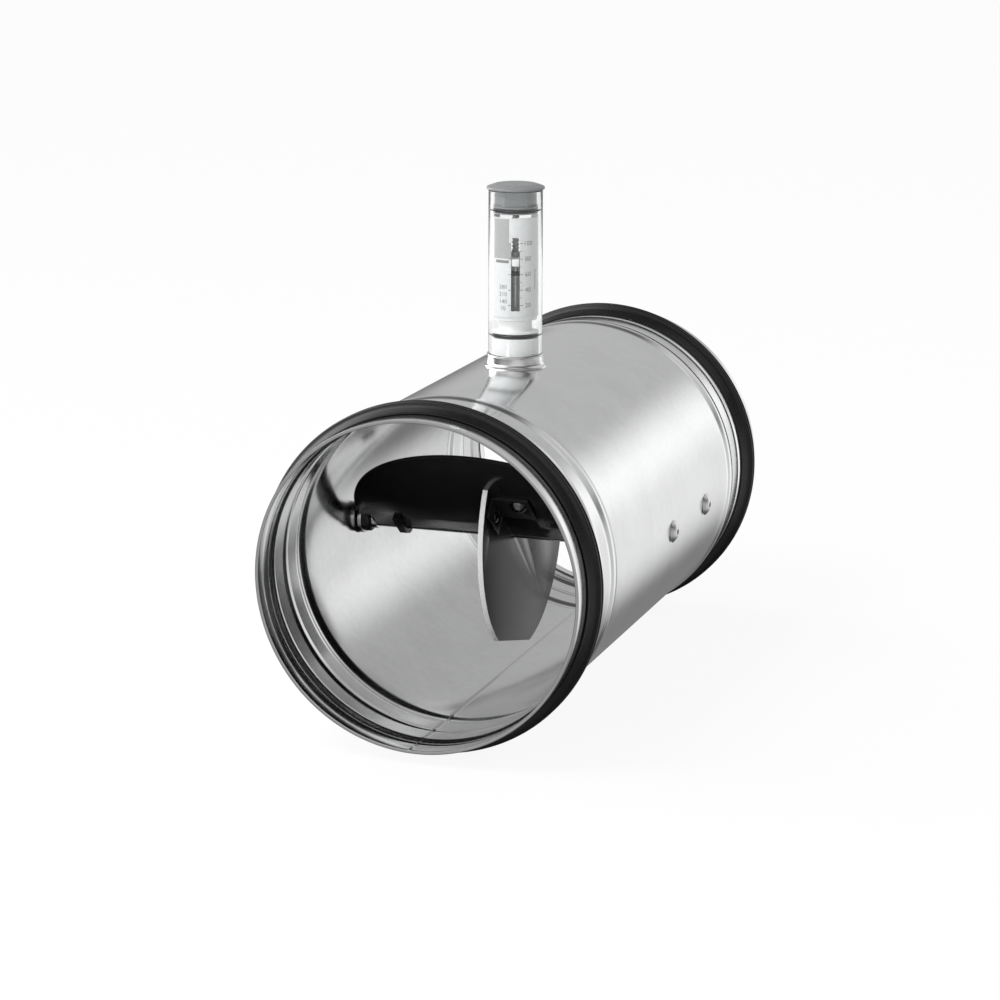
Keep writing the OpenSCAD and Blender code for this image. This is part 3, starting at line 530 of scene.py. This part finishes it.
def casing():
    """The rolled shell with the hole for the setting tube; its inner faces behind the hem take a darker zinc
    that is painted shade.
    """
    angles = sorted([2 * pi * k / RING_STEPS for k in range(RING_STEPS)]
                    + [SEAM_AT + k * SEAM_STEP for k in range(-SEAM_STEPS, SEAM_STEPS + 1) if k])
    shell = turned("casing", PROFILE, ALONG_DUCT, angles=angles, shift=seam)
    bore = turned("bore", [(0, 30), (TUBE_RI, 30), (TUBE_RI, 90), (0, 90)], ON_TUBE, 64, closed=False)
    shell = cut(shell, bore)
    shell.materials.append(ZINC)
    shell.materials.append(ZINC_PAINTED_SHADE)
    shell = keep("casing_shell", shell, ZINC, "casing_body", ["casing"], sharp=28)
    for face in shell.data.polygons:
        outward = Vector((face.center.x, 0, face.center.z)).normalized()
        depth = min(face.center.y / MM, CASING_L - face.center.y / MM)
        # Inward faces behind the hem take the darker zinc, which paints the shade inside the duct
        face.material_index = int(face.normal.dot(outward) < -0.3 and depth > HEM_L + 0.6)


casing()

# ---------------------------------------------------------------- lip seals
# Share of the seal's length, share of the lips' height and corner setback
LIPS = [(0, 0), (0, 0.1, 0.1), (0.05, 0.16, 0.3), (0.27, 0.56, 1.0), (0.335, 0.93, 0.5), (0.38, 1, 0.25),
        (0.43, 0.96, 0.25), (0.45, 0.6, 0.3), (0.5, 0.58, 0.3), (0.53, 0.96, 0.25), (0.57, 1, 0.25),
        (0.615, 0.93, 0.5), (0.7, 0.56, 1.0), (0.95, 0.16, 0.3), (1, 0.1, 0.1), (1, 0)]


def seal_mesh(name, flip):
    """A double lip seal, mirrored for the outlet."""
    points = []
    for s, h, *back in LIPS:
        at = SEAL_AT + s * SEAL_L
        points.append((CASING_R + SKIN_GAP + h * LIP_H, CASING_L - at if flip else at, *back))
    return turned(name, fillet(points, 5), ALONG_DUCT, 256)


for name, flip in (("inlet_seal", False), ("outlet_seal", True)):
    keep(name + "_lips", seal_mesh(name, flip), RUBBER, "casing_body", [name])

# ---------------------------------------------------------------- bearings and flank fasteners
for side in ("left", "right"):
    keep(side + "_bracket_strip", from_cad(side + "_bearing_bracket", 0.25), STRIP, "casing_body",
         [side + "_bearing_bracket"])

BUSH_X0, BUSH_X1 = low("right_bush")[0], high("right_bush")[0]
BRACKET_X0 = low("right_bearing_bracket")[0]
BUSH_RI = SHAFT_R + 0.05
ON_SHAFT = along_x(0, SHAFT_Y, SHAFT_Z)
for side, sign in (("left", -1), ("right", 1)):
    outline = fillet([(BUSH_RI, BUSH_X0), (4.6, BUSH_X0, 0.3), (5.2, BUSH_X0 + 0.8, 0.3),
                      (5.2, BRACKET_X0, 0.2), (4.4, BRACKET_X0, 0.1), (4.4, BUSH_X1, 0.3), (BUSH_RI, BUSH_X1)])
    outline = [(r, x * sign) for r, x in outline]
    keep(side + "_bearing_bush", turned("bush", outline, ON_SHAFT, 64), HUB, "casing_body",
         [side + "_bush"])


def dome(base, sign):
    """Points of a screw's domed head from its rim at base to the edge of its socket."""
    height = HEAD_H - HEAD_EDGE
    ball = (HEAD_R ** 2 + height ** 2) / (2 * height)
    points = []
    for k in range(11):
        r = HEAD_R * (1 - k / 10 * (1 - SOCKET_R / HEAD_R))
        points.append((r, base + sign * (sqrt(ball ** 2 - r ** 2) + height - ball)))
    return points


def screw_head(x, sign, axis):
    """A domed head on the plane at x with a blind hexagon in its crown."""
    edge, tip = x + sign * HEAD_EDGE, x + sign * HEAD_H
    points = [(0.0, x), (HEAD_R - 0.1, x), (HEAD_R, edge), *dome(edge, sign)]
    head = turned("head", points + [(0.0, points[-1][1])], axis, 48, closed=False)
    x0, x1 = sorted((tip - sign * HEXAGON_DEPTH, tip + sign))
    return cut(head, prism("socket", hexagon(HEXAGON_R, 10), x0, x1, axis, 0))


def hex_nut(x0, x1, turn, axis):
    """A hexagonal nut with chamfered corners between two places on the axis."""
    steps, face_r = 60, NUT_R * 0.86
    # Radius, place and kind: 0 keeps its radius, 1 stays inside the hexagon and 2 follows it
    rings = [(NUT_BORE_R, x0, 0), (face_r, x0, 1), (NUT_R, x0 + NUT_CHAMFER, 2),
             (NUT_R, x1 - NUT_CHAMFER, 2), (face_r, x1, 1), (NUT_BORE_R, x1, 0)]
    points = []
    for k in range(steps):
        angle = 2 * pi * k / steps
        flat = NUT_R * cos(radians(30)) / cos((angle % (pi / 3)) - pi / 6)
        for radius, x, kind in rings:
            radius = (radius, min(radius, flat), flat)[kind]
            points.append((radius * cos(angle + turn), radius * sin(angle + turn), x))
    return mesh_from("nut", points, band_faces(steps, len(rings)), axis)


def flank_fasteners():
    """The two screws through each flank and their nuts inside."""
    heads, shanks, nuts = [], [], []
    holder_x0 = BRACKET_X0 - 1.5
    for i, y in enumerate(SCREW_YS):
        axis = along_x(0, y, SHAFT_Z)
        for sign, inner in ((1, holder_x0), (-1, BRACKET_X0)):
            start, stop = sign * CASING_R, sign * (inner - NUT_T - 0.5)
            heads.append(screw_head(start, sign, axis))
            shank = fillet([(0, start), (SHANK_R, start), (SHANK_R, stop, 0.3), (0, stop)], 3, False)
            shanks.append(turned("shank", shank, axis, 32, closed=False))
            x0, x1 = sorted((sign * inner, sign * (inner - NUT_T)))
            nuts.append(hex_nut(x0, x1, radians(13 + 17 * i), axis))
    keep("flank_screw_set", joined("flank_screws", heads + shanks), SCREW, "casing_body",
         ["flank_screws"])
    keep("flank_nut_set", joined("flank_nuts", nuts), SCREW, "casing_body",
         ["flank_nuts"], 25)


flank_fasteners()

# ---------------------------------------------------------------- shaft
SHAFT_X = high("shaft")[0]
rod = fillet([(0, -SHAFT_X), (SHAFT_R, -SHAFT_X, 0.5), (SHAFT_R, SHAFT_X, 0.5), (0, SHAFT_X)], 3, False)
keep("shaft_rod", turned("shaft", rod, ON_SHAFT, 64, closed=False), BRIGHT, "blade_body",
     ["shaft"])


def collar_pair():
    """The set collars, each with the hole of its grub screw."""
    outer_x, inner_r, pair = high("shaft_collars")[0], SHAFT_R + 0.01, []
    for sign in (-1, 1):
        x0, x1 = sorted((sign * outer_x, sign * (outer_x - COLLAR_L)))
        ring = fillet([(inner_r, x0), (COLLAR_R, x0, 0.25), (COLLAR_R, x1, 0.25), (inner_r, x1)])
        hole = Matrix.Translation(((x0 + x1) / 2, SHAFT_Y, SHAFT_Z)) @ Matrix.Rotation(radians(100), 4, "X")
        grub = turned("grub", [(0, 3.2), (GRUB_R, 3.2), (GRUB_R, 6), (0, 6)], hole, 12, closed=False)
        pair.append(cut(turned("collar", ring, ON_SHAFT, 48), grub))
    return joined("shaft_collars", pair)


keep("shaft_collar_pair", collar_pair(), BRIGHT, "blade_body", ["shaft_collars"])


# ---------------------------------------------------------------- blade
def blade_outline():
    """Half a disc with a straight edge and a notch at each end of it."""
    start = asin((BLADE_CENTRE - NOTCH_H) / BLADE_R)
    angles = [start + (-pi - 2 * start) * k / 150 for k in range(151)]
    disc = [(BLADE_R * cos(angle), -BLADE_CENTRE + BLADE_R * sin(angle)) for angle in angles]
    return disc + [(-NOTCH_X, -NOTCH_H), (-NOTCH_X, BLADE_EDGE), (NOTCH_X, BLADE_EDGE), (NOTCH_X, -NOTCH_H)]


sheet = prism("blade", blade_outline(), BLADE_Z0, BLADE_Z1, BLADE_FRAME, 0.25, 2)
keep("blade_sheet", sheet, BLADE, "blade_body", ["blade"], 30)
keep("blade_clip_pair", from_cad("blade_clips", 0.2), CLIP, "blade_body", ["blade_clips"])
keep("blade_hub_cone", from_cad("blade_hub", 0.2), HUB, "blade_body", ["blade_hub"], 24)

# ---------------------------------------------------------------- plate, its angle and fasteners
disc = from_cad("cam_plate", 0.18)
disc.materials.append(PLATE)
disc.materials.append(PLATE_EDGE_HIGHLIGHT)
# The plate's rim faces take the near-white painted edge highlight, its flat faces the dark steel
for face in disc.polygons:
    face.material_index = int(abs(face.normal.x) < 0.5)
keep("cam_plate_disc", disc, PLATE, "blade_body", ["cam_plate"])
keep("plate_angle", from_cad("plate_bracket", 0.2), CLIP, "blade_body", ["plate_bracket"])
keep("plate_stud_set", from_cad("plate_fasteners", 0.1, 1), STUD, "blade_body",
     ["plate_fasteners"], 24)
keep("crank_pin_stud", from_cad("crank_pin", 0.15), BRIGHT, "blade_body", ["crank_pin"])
keep("crank_arm_lever", from_cad("crank_arm", 0.2), STRIP, "blade_body", ["crank_arm"])

# ---------------------------------------------------------------- dashpot
keep("dashpot_clamp", from_cad("dashpot_holder", 0.2), STRIP, "casing_body",
     ["dashpot_holder"])


def dashpot():
    """The barrel with its caps and the piston inside, turned about the barrel's axis."""
    least, most = low("dashpot_cylinder"), high("dashpot_cylinder")
    axis = along_y((least[0] + most[0]) / 2, 0, (least[2] + most[2]) / 2)
    y0, y1 = least[1], most[1]
    tube = fillet([(DASH_RI, y0, 0.2), (DASH_R, y0, 0.3), (DASH_R, y1, 0.3), (DASH_RI, y1, 0.2)])
    keep("dashpot_barrel", turned("barrel", tube, axis, 64), TURNED, "casing_body",
         ["dashpot_cylinder"])
    front = fillet([(DASH_ROD_R, y0 - 3, 0.2), (4.2, y0 - 3, 0.2), (4.6, y0 - 2.4, 0.2),
                    (DASH_R, y0 - 2.4, 0.3), (DASH_R, y0, 0.1), (CAP_R, y0), (CAP_R, y0 + 3, 0.3),
                    (DASH_ROD_R, y0 + 3, 0.2)])
    back = fillet([(0, y1 - 3), (CAP_R, y1 - 3, 0.3), (CAP_R, y1), (DASH_R, y1, 0.1), (DASH_R, y1 + 2.4, 0.3),
                   (4.6, y1 + 2.4, 0.2), (4.2, y1 + 3, 0.2), (1.4, y1 + 3, 0.1), (1.2, y1 + 2.2, 0.1),
                   (0, y1 + 2.2)], closed=False)
    caps = joined("caps", [turned("front", front, axis, 64), turned("back", back, axis, 64, closed=False)])
    keep("dashpot_end_caps", caps, DARK_PLASTIC, "casing_body", ["dashpot_caps"])
    y0, y1 = low("dashpot_piston")[1], high("dashpot_piston")[1]
    piston = fillet([(1.02, y0), (PISTON_R, y0, 0.3), (PISTON_R, y0 + 1.4, 0.1), (4.3, y0 + 1.6, 0.1),
                     (4.3, y1 - 1.6, 0.1), (PISTON_R, y1 - 1.4, 0.1), (PISTON_R, y1, 0.3), (0, y1),
                     (0, y0 + 2), (1.02, y0 + 2)], closed=False)
    keep("dashpot_plunger", turned("piston", piston, axis, 48, closed=False), DARK_PLASTIC, "dashpot_body",
         ["dashpot_piston"])


dashpot()
keep("dashpot_pushrod", from_cad("dashpot_rod", 0.15), BRIGHT, "dashpot_body", ["dashpot_rod"])

# ---------------------------------------------------------------- foot of the setting tube
SADDLE_STEPS = 128
SADDLE_H = 2.2


def socket_mesh():
    """The turned foot, whose underside follows the casing's crown."""
    profile = fillet([(8.95, 0, 0), (12.2, 0, 0.2), (12.1, 0.5, 0.3), (11.2, 1.0, 0.5), (10.8, 3.2, 0.6),
                      (10.85, 3.6, 0.15), (11.15, 3.75, 0.15), (11.15, 4.15, 0.2), (10.6, 4.35, 0.1),
                      (8.95, 4.35, 0)])
    base = min(h for _, h in profile)
    points = []
    for k in range(SADDLE_STEPS):
        angle = 2 * pi * k / SADDLE_STEPS
        for r, h in profile:
            x, y = r * cos(angle), r * sin(angle)
            crown = sqrt((CASING_R + SKIN_GAP) ** 2 - x * x)
            share = min(1.0, (h - base) / SADDLE_H)
            floor = crown + (h - base) * 0.8
            points.append((x, y, floor + (CASING_R + h - floor) * share))
    return mesh_from("socket", points, band_faces(SADDLE_STEPS, len(profile)), ON_TUBE)


keep("tube_foot", socket_mesh(), TURNED, "casing_body", ["tube_socket"], 26)

stem = fillet([(3.6, 58.5, 0.3), (8.8, 58.5, 0.4), (8.8, 66.4), (8.98, 66.65, 0.05), (8.98, 73.2, 0.15),
               (7.3, 73.28), (7.3, 75.0), (8.98, 75.05, 0.15), (8.98, 76.0, 0.2), (6.4, 76.2, 0.5),
               (6.4, 80.0, 0.5), (8.3, 80.3, 0.2), (8.3, BASE_TOP, 0.2), (3.6, BASE_TOP, 0.3)])
keep("tube_insert", turned("stem", stem, ON_TUBE, 96), WHITE, "casing_body", ["tube_base"])


def o_ring(name, body, node):
    """A sealing ring squeezed between its groove and the tube. Returns its height."""
    z = (low(node)[2] + high(node)[2]) / 2
    section = [(8.2 + 0.87 * cos(2 * pi * k / 20), z + 0.8 * sin(2 * pi * k / 20)) for k in range(20)]
    keep(name, turned(name, section, ON_TUBE, 96), RING, body, [node])
    return z


o_ring("lower_ring", "casing_body", "lower_o_ring")
UPPER_Z = o_ring("upper_ring", "knob_body", "upper_o_ring")

wall = fillet([(TUBE_RI, TUBE_Z0, 0.1), (TUBE_R, TUBE_Z0, 0.25), (TUBE_R, TUBE_Z1, 0.35),
               (TUBE_RI, TUBE_Z1, 0.2)])
keep("setting_tube", turned("tube", wall, ON_TUBE, 192), CLEAR, "casing_body", ["clear_tube"])


# ---------------------------------------------------------------- scale
PATCH_STEP = 3.0
SLOT_HALF = 11.0
OPEN_AT = 130.0
FILM_R, FILM_Z0 = SCALE_R - 0.4, BASE_TOP + 0.02
SLOT_Z0, SLOT_Z1 = BASE_TOP + 2.5, BASE_TOP + 30.9
PRINT_R0, PRINT_R1 = SCALE_R + 0.005, SCALE_R + 0.04


def curved(a0, a1, z0, z1, r0, r1):
    """A curved patch about the tube's axis, between two angles from the facing direction, in degrees."""
    steps = max(1, int(abs(a1 - a0) / PATCH_STEP))
    points = []
    for k in range(steps + 1):
        angle = radians(a0 + (a1 - a0) * k / steps - 90)
        for r, z in ((r0, z0), (r1, z0), (r1, z1), (r0, z1)):
            points.append((r * cos(angle), r * sin(angle), z))
    faces = band_faces(steps + 1, 4, closed_rows=False)
    faces += [(0, 1, 2, 3), (4 * steps + 3, 4 * steps + 2, 4 * steps + 1, 4 * steps)]
    return mesh_from("patch", points, faces, FACING)


# The sheet left and right of the slot, below it and above it
FILM_PARTS = ((-OPEN_AT, -SLOT_HALF, FILM_Z0, SCALE_TOP), (SLOT_HALF, OPEN_AT, FILM_Z0, SCALE_TOP),
              (-SLOT_HALF, SLOT_HALF, FILM_Z0, SLOT_Z0), (-SLOT_HALF, SLOT_HALF, SLOT_Z1, SCALE_TOP))
film = joined("scale", [curved(*part, FILM_R, SCALE_R) for part in FILM_PARTS])
keep("scale_sheet", film, FILM, "casing_body", ["scale_sleeve"])


def thin_patch(a0, a1, z0, z1):
    """A thin patch on the scale sheet, for its print and its grey field."""
    return curved(a0, a1, z0, z1, PRINT_R0, PRINT_R1)


def numeral(text, angle, z, size):
    """A number in plain type, wrapped round the scale sheet."""
    curve = bpy.data.curves.new("numeral", "FONT")
    curve.body, curve.size, curve.align_x, curve.align_y = text, size, "CENTER", "CENTER"
    curve.extrude, curve.resolution_u = (PRINT_R1 - PRINT_R0) / 2, 3
    item = place("numeral", curve)
    mesh = evaluated(item)
    bpy.data.objects.remove(item)
    mid = (PRINT_R0 + PRINT_R1) / 2
    for v in mesh.vertices:
        x, y, depth = v.co
        turn = radians(angle - 90) + x / mid
        v.co = (FACING @ Vector(((mid + depth) * cos(turn), (mid + depth) * sin(turn), z + y))) * MM
    return mesh


TICK_Z0, TICK_PITCH, TICK_H = 86.4, 3.0, 0.28
TICK_FROM, SHORT_TICK_TO, LONG_TICK_TO = 11.6, 15.0, 18.0
NUMERAL_ANGLE = 31


def scale_marks():
    """A line, two rows of ticks with their numbers and a short upright line beside them."""
    ink = [thin_patch(-52, -16, 102.9, 104.0)]
    for k in range(9):
        z = TICK_Z0 + TICK_PITCH * k
        ink.append(thin_patch(TICK_FROM, SHORT_TICK_TO if k % 2 else LONG_TICK_TO, z, z + TICK_H))
        if not k % 2:
            ink.append(thin_patch(-LONG_TICK_TO, -TICK_FROM, z, z + TICK_H))
    for k in range(5):
        ink.append(numeral(str(20 * (k + 1)), NUMERAL_ANGLE, 86.5 + 2 * TICK_PITCH * k, 2.5))
    for k in range(4):
        ink.append(numeral(str(70 * (k + 1)), -NUMERAL_ANGLE, 85.2 + 2.8 * k, 2.2))
    return joined("marks", ink + [thin_patch(51.5, 53.0, 92.5, 100.5)])


# A mid-grey field over the upper left of the scale sheet
grey_fields = [thin_patch(-58, -15.5, 110.5, SCALE_TOP - 0.3), thin_patch(-58, -11.3, 104.6, 110.5)]
keep("scale_grey_panel", joined("grey_field_mesh", grey_fields), GREY_FIELD, "casing_body")
keep("scale_marks", scale_marks(), INK, "casing_body")


# ---------------------------------------------------------------- knob
def knob_mesh():
    """The knob's grip, its hexagonal neck and the plug that holds the upper ring."""
    plug_z0, grip_z0, grip_z1 = low("knob_cap")[2], 130.5, high("knob_cap")[2]
    seat_z0, seat_z1, lip = UPPER_Z - 0.82, UPPER_Z + 0.82, 0.5
    grip = fillet([(0, grip_z0), (KNOB_R, grip_z0, 0.2), (KNOB_R, grip_z0 + 0.9, 0.35),
                   (KNOB_TOP_R, grip_z1, 0.8), (0, grip_z1)], 5, False)
    plug = fillet([(0, seat_z1 + lip), (PLUG_R, seat_z1 + lip, 0.1), (PLUG_R, seat_z1, 0.1),
                   (RING_SEAT_R, seat_z1), (RING_SEAT_R, seat_z0), (PLUG_R, seat_z0, 0.1),
                   (PLUG_R, plug_z0, 0.15), (1.6, plug_z0), (1.6, plug_z0 + 2), (0, plug_z0 + 2)], closed=False)
    return joined("knob", [turned("grip", grip, FACING, 96, closed=False),
                           prism("neck", hexagon(8.5), seat_z1, grip_z0 + 0.1, FACING, 0.35, 3),
                           turned("plug", plug, FACING, 96, closed=False)])


keep("knob_grip", knob_mesh(), KNOB, "knob_body", ["knob_cap"], 28)

# ---------------------------------------------------------------- spindle and indicator
LEAD = 1.5
THREAD_ROOT_R, THREAD_H = 1.12, 0.36


def spindle_mesh():
    """The spindle with its trapezoidal thread, both ends tapered and closed."""
    z0, z1 = low("spindle")[2], high("spindle")[2]
    per, around = 12, 24
    count = int((z1 - z0) / LEAD * per)
    rows = [z0 + 0.001 + (z1 - z0 - 0.002) * k / count for k in range(count + 1)]
    points, faces = [(0, 0, z0), (0, 0, z1)], []
    for z in rows:
        for k in range(around):
            # The tooth has a flat crest and root and straight flanks between them
            phase = (z / LEAD - k / around) % 1
            tooth = max(0.0, min(1.0, 2.2 - abs(phase - 0.5) * 7.5))
            taper = min(1.0, (z - z0) / 0.5 + 0.3, (z1 - z) / 0.5 + 0.3)
            r = (THREAD_ROOT_R + THREAD_H * tooth) * (0.72 + 0.28 * taper)
            points.append((r * cos(2 * pi * k / around), r * sin(2 * pi * k / around), z))
    for i in range(count):
        a, b = 2 + i * around, 2 + (i + 1) * around
        faces += [(a + k, a + (k + 1) % around, b + (k + 1) % around, b + k) for k in range(around)]
    last = 2 + count * around
    faces += [(0, 2 + (k + 1) % around, 2 + k) for k in range(around)]
    faces += [(1, last + k, last + (k + 1) % around) for k in range(around)]
    return mesh_from("spindle", points, faces, ON_TUBE)


keep("threaded_spindle", spindle_mesh(), THREAD, "knob_body", ["spindle"], 50)

SLEEVE_R, SLEEVE_RI = 2.2, 1.58


def indicator():
    """The sleeve on the spindle, with its pointer and dark band."""
    seat_r = SLEEVE_R + 0.02
    z0, z1 = low("indicator_sleeve")[2], high("indicator_sleeve")[2]
    sleeve = fillet([(0, z0), (SLEEVE_R, z0, 0.2), (SLEEVE_R, z1, 0.25), (SLEEVE_RI, z1, 0.2),
                     (SLEEVE_RI, z0 + 3, 0.1), (0, z0 + 3)], closed=False)
    keep("indicator_tube", turned("sleeve", sleeve, ON_TUBE, 48, closed=False), THREAD, "indicator_body",
         ["indicator_sleeve"])
    z0, z1 = low("pointer")[2], high("pointer")[2]
    ring = fillet([(seat_r, z0, 0.2), (3.5, z0, 0.3), (3.5, z1, 0.3), (seat_r, z1, 0.2)])
    arm = prism("arm", [(-1.4, -8.7), (1.4, -8.7), (1.4, -2.5), (-1.4, -2.5)], z0, z1, FACING, 0.35, 3)
    keep("pointer_tab", joined("pointer", [turned("ring", ring, ON_TUBE, 48), arm]), WHITE, "indicator_body",
         ["pointer"])
    z0, z1 = low("indicator_mark")[2], high("indicator_mark")[2]
    band = fillet([(seat_r, z0, 0.1), (3.0, z0, 0.4), (3.0, z1, 0.4), (seat_r, z1, 0.1)])
    keep("indicator_band", turned("mark", band, ON_TUBE, 48), MARK, "indicator_body",
         ["indicator_mark"])


indicator()

# ---------------------------------------------------------------- spring, its ends and the pull rod
SPRING_Z0, COIL_L, COILS, COIL_R, WIRE_R = 22.2, 46.4, 24, 2.65, 0.35
# The turn where the spring is split between its two stretches, and how far its ends run on
SPLIT = 8.25
TURN_STEPS, END_L, END_GAP = 28, 0.7, 0.4


def coil(t0, t1, lead_in, lead_out):
    """The wire's path between two turns, run on straight where the spring ends."""
    count = int((t1 - t0) * TURN_STEPS)
    path = []
    for k in range(count + 1):
        t = t0 + (t1 - t0) * k / count
        angle = 2 * pi * t
        path.append(Vector((COIL_R * cos(angle), COIL_R * sin(angle), SPRING_Z0 + COIL_L * t / COILS)))
    if lead_in:
        path.insert(0, path[0] + (path[0] - path[1]).normalized() * END_L)
    if lead_out:
        path.append(path[-1] + (path[-1] - path[-2]).normalized() * END_L)
    return path


def spring_stretch(name, path):
    """A stretch of the spring as a round wire along its path, in place of the CAD spring."""
    mesh = swept(name, path, WIRE_R, 12, ON_TUBE)
    mesh.shade_smooth()
    mesh.materials.append(BRIGHT)
    piece = place(name, mesh)
    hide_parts("tension_spring")
    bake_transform(piece)


spring_stretch("spring_lower", coil(0, SPLIT, True, False))
spring_stretch("spring_upper", coil(SPLIT, COILS, False, True))

keep("spring_hook", from_cad("spring_hanger", 0.2), BRIGHT, "indicator_body", ["spring_hanger"])
keep("pull_rod_cap", from_cad("pull_rod_plug", 0.2), BRIGHT, "pull_rod_body", ["pull_rod_plug"])
keep("pull_rod_link", from_cad("pull_rod", 0.15), BRIGHT, "pull_rod_body", ["pull_rod"])


# ---------------------------------------------------------------- floor, light and camera
FLOOR_HALF, FLOOR_GAP = 6000.0, 0.3
# Share of the floor that is plain white to the straight view. The rest takes the shadow
FLOOR_WHITE = 0.92
WORLD_BASE = 0.13
# Direction, inner and outer angle in degrees and strength of each soft panel of the world
BEHIND = ((0, 1, 0), 30, 50, 1.0)
BEHIND_PANELS = (((0, 1, 0), 30, 50, 0.15), ((0, 0, 1), 81, 97, 0.38))
PANELS = (((0.385, 0.919, -0.09), 2, 27, 0.86), ((0.45, -0.75, 0.50), 12, 45, 0.45),
          ((-0.35, -0.55, 0.75), 12, 45, 0.40), ((-0.92, 0.19, 0.32), 8, 34, 3.2),
          ((-0.60, -0.05, 0.80), 8, 30, 2.6), ((-0.88, 0.36, -0.25), 8, 34, 1.5),
          ((0.96, -0.08, -0.20), 10, 40, 0.45), ((0.0, -1.0, 0.20), 20, 75, 0.32),
          ((0.76, 0.60, -0.22), 8, 30, 0.65), ((0.55, 0.55, 0.63), 8, 32, 0.65))
# The photograph's camera: place in metres, pan, tilt and roll in degrees, focal length in pixels
CAMERA_AT, PAN, TILT, ROLL = (0.3692, -0.9772, 0.2844), 19.000, 13.530, 0.093
FOCAL_PX, FRAME_PX, SENSOR = 3006.9, 1000, 36.0


def straight_view(tree):
    """1 for what the camera sees directly or through clear plastic."""
    path = tree.nodes.new("ShaderNodeLightPath")
    return math_node(tree, "MAXIMUM", path.outputs["Is Camera Ray"], path.outputs["Is Transmission Ray"])


def floor():
    """A plain pale floor that keeps the object's soft shadow."""
    half, z = FLOOR_HALF, CAD_BOX[0][2] / MM - FLOOR_GAP
    mesh = mesh_from("floor", [(-half, -half, z), (half, -half, z), (half, half, z), (-half, half, z)],
                     [(0, 1, 2, 3)])
    mat, tree, shader, out = new_material("floor_white")
    shader.inputs["Base Color"].default_value = (0.85, 0.85, 0.85, 1)
    shader.inputs["Roughness"].default_value = 0.9
    shader.inputs["Specular IOR Level"].default_value = 0.1
    glow = tree.nodes.new("ShaderNodeEmission")
    glow.inputs["Color"].default_value = (1, 1, 1, 1)
    glow.inputs["Strength"].default_value = 1.0
    share = math_node(tree, "MULTIPLY", straight_view(tree), FLOOR_WHITE)
    blended(tree, share, shader.outputs[0], glow.outputs[0], out)
    mesh.materials.append(mat)
    ground = place("floor", mesh)
    ground.visible_glossy = False


floor()


def studio():
    """A soft studio as the world: white to the straight view, a soft set of panels to the surfaces."""
    world = bpy.data.worlds.new("studio")
    bpy.context.scene.world = world
    world.use_nodes = True
    tree = world.node_tree
    tree.nodes.clear()
    ray = tree.nodes.new("ShaderNodeTexCoord")

    def panel(direction, inner, outer, strength):
        """A round panel, even inside the inner angle and faded out at the outer one."""
        dot = tree.nodes.new("ShaderNodeVectorMath")
        dot.operation = "DOT_PRODUCT"
        dot.inputs[1].default_value = Vector(direction).normalized()
        tree.links.new(ray.outputs["Generated"], dot.inputs[0])
        return ranged(tree, dot.outputs["Value"], cos(radians(outer)), cos(radians(inner)), 0.0, strength,
                      "SMOOTHERSTEP")

    def total(values):
        last = values[0]
        for value in values[1:]:
            last = math_node(tree, "ADD", last, value)
        return last

    base = tree.nodes.new("ShaderNodeValue")
    base.outputs[0].default_value = WORLD_BASE
    behind = math_node(tree, "MULTIPLY", panel(*BEHIND), total([panel(*row) for row in BEHIND_PANELS]))
    sky = tree.nodes.new("ShaderNodeBackground")
    tree.links.new(total([base.outputs[0], behind] + [panel(*row) for row in PANELS]), sky.inputs["Strength"])
    white = tree.nodes.new("ShaderNodeBackground")
    white.inputs["Strength"].default_value = 1.0
    out = tree.nodes.new("ShaderNodeOutputWorld")
    blended(tree, straight_view(tree), sky.outputs[0], white.outputs[0], out)


studio()


def lamp(name, at, target, size, power):
    """A round soft lamp that metal doesn't mirror."""
    light = bpy.data.lights.new(name, "AREA")
    light.shape, light.size, light.energy = "DISK", size, power
    item = place(name, light)
    item.visible_glossy = False
    aim = Vector(target) - Vector(at)
    item.matrix_world = Matrix.Translation(at) @ aim.to_track_quat("-Z", "Y").to_matrix().to_4x4()


lamp("key", (-0.7, -0.9, 1.7), (0, 0.1, 0), 0.8, 22.0)
lamp("low", (-0.5, -1.5, 0.45), (0, 0.05, 0), 0.6, 10.0)


def camera():
    """The photograph's view of the object."""
    pan, tilt, roll = radians(PAN), radians(TILT), radians(ROLL)
    ahead = Vector((-sin(pan) * cos(tilt), cos(pan) * cos(tilt), -sin(tilt)))
    right = Vector((cos(pan), sin(pan), 0))
    up = right.cross(ahead)
    right, up = cos(roll) * right + sin(roll) * up, -sin(roll) * right + cos(roll) * up
    data = bpy.data.cameras.new("camera")
    data.sensor_width = SENSOR
    data.lens = SENSOR * FOCAL_PX / FRAME_PX
    data.clip_start, data.clip_end = 0.05, 30.0
    view = place("camera", data)
    turn = Matrix((right, up, -ahead)).transposed().to_4x4()
    view.matrix_world = Matrix.Translation(CAMERA_AT) @ turn
    bpy.context.scene.camera = view


camera()
bpy.context.scene.view_settings.view_transform = "Standard"
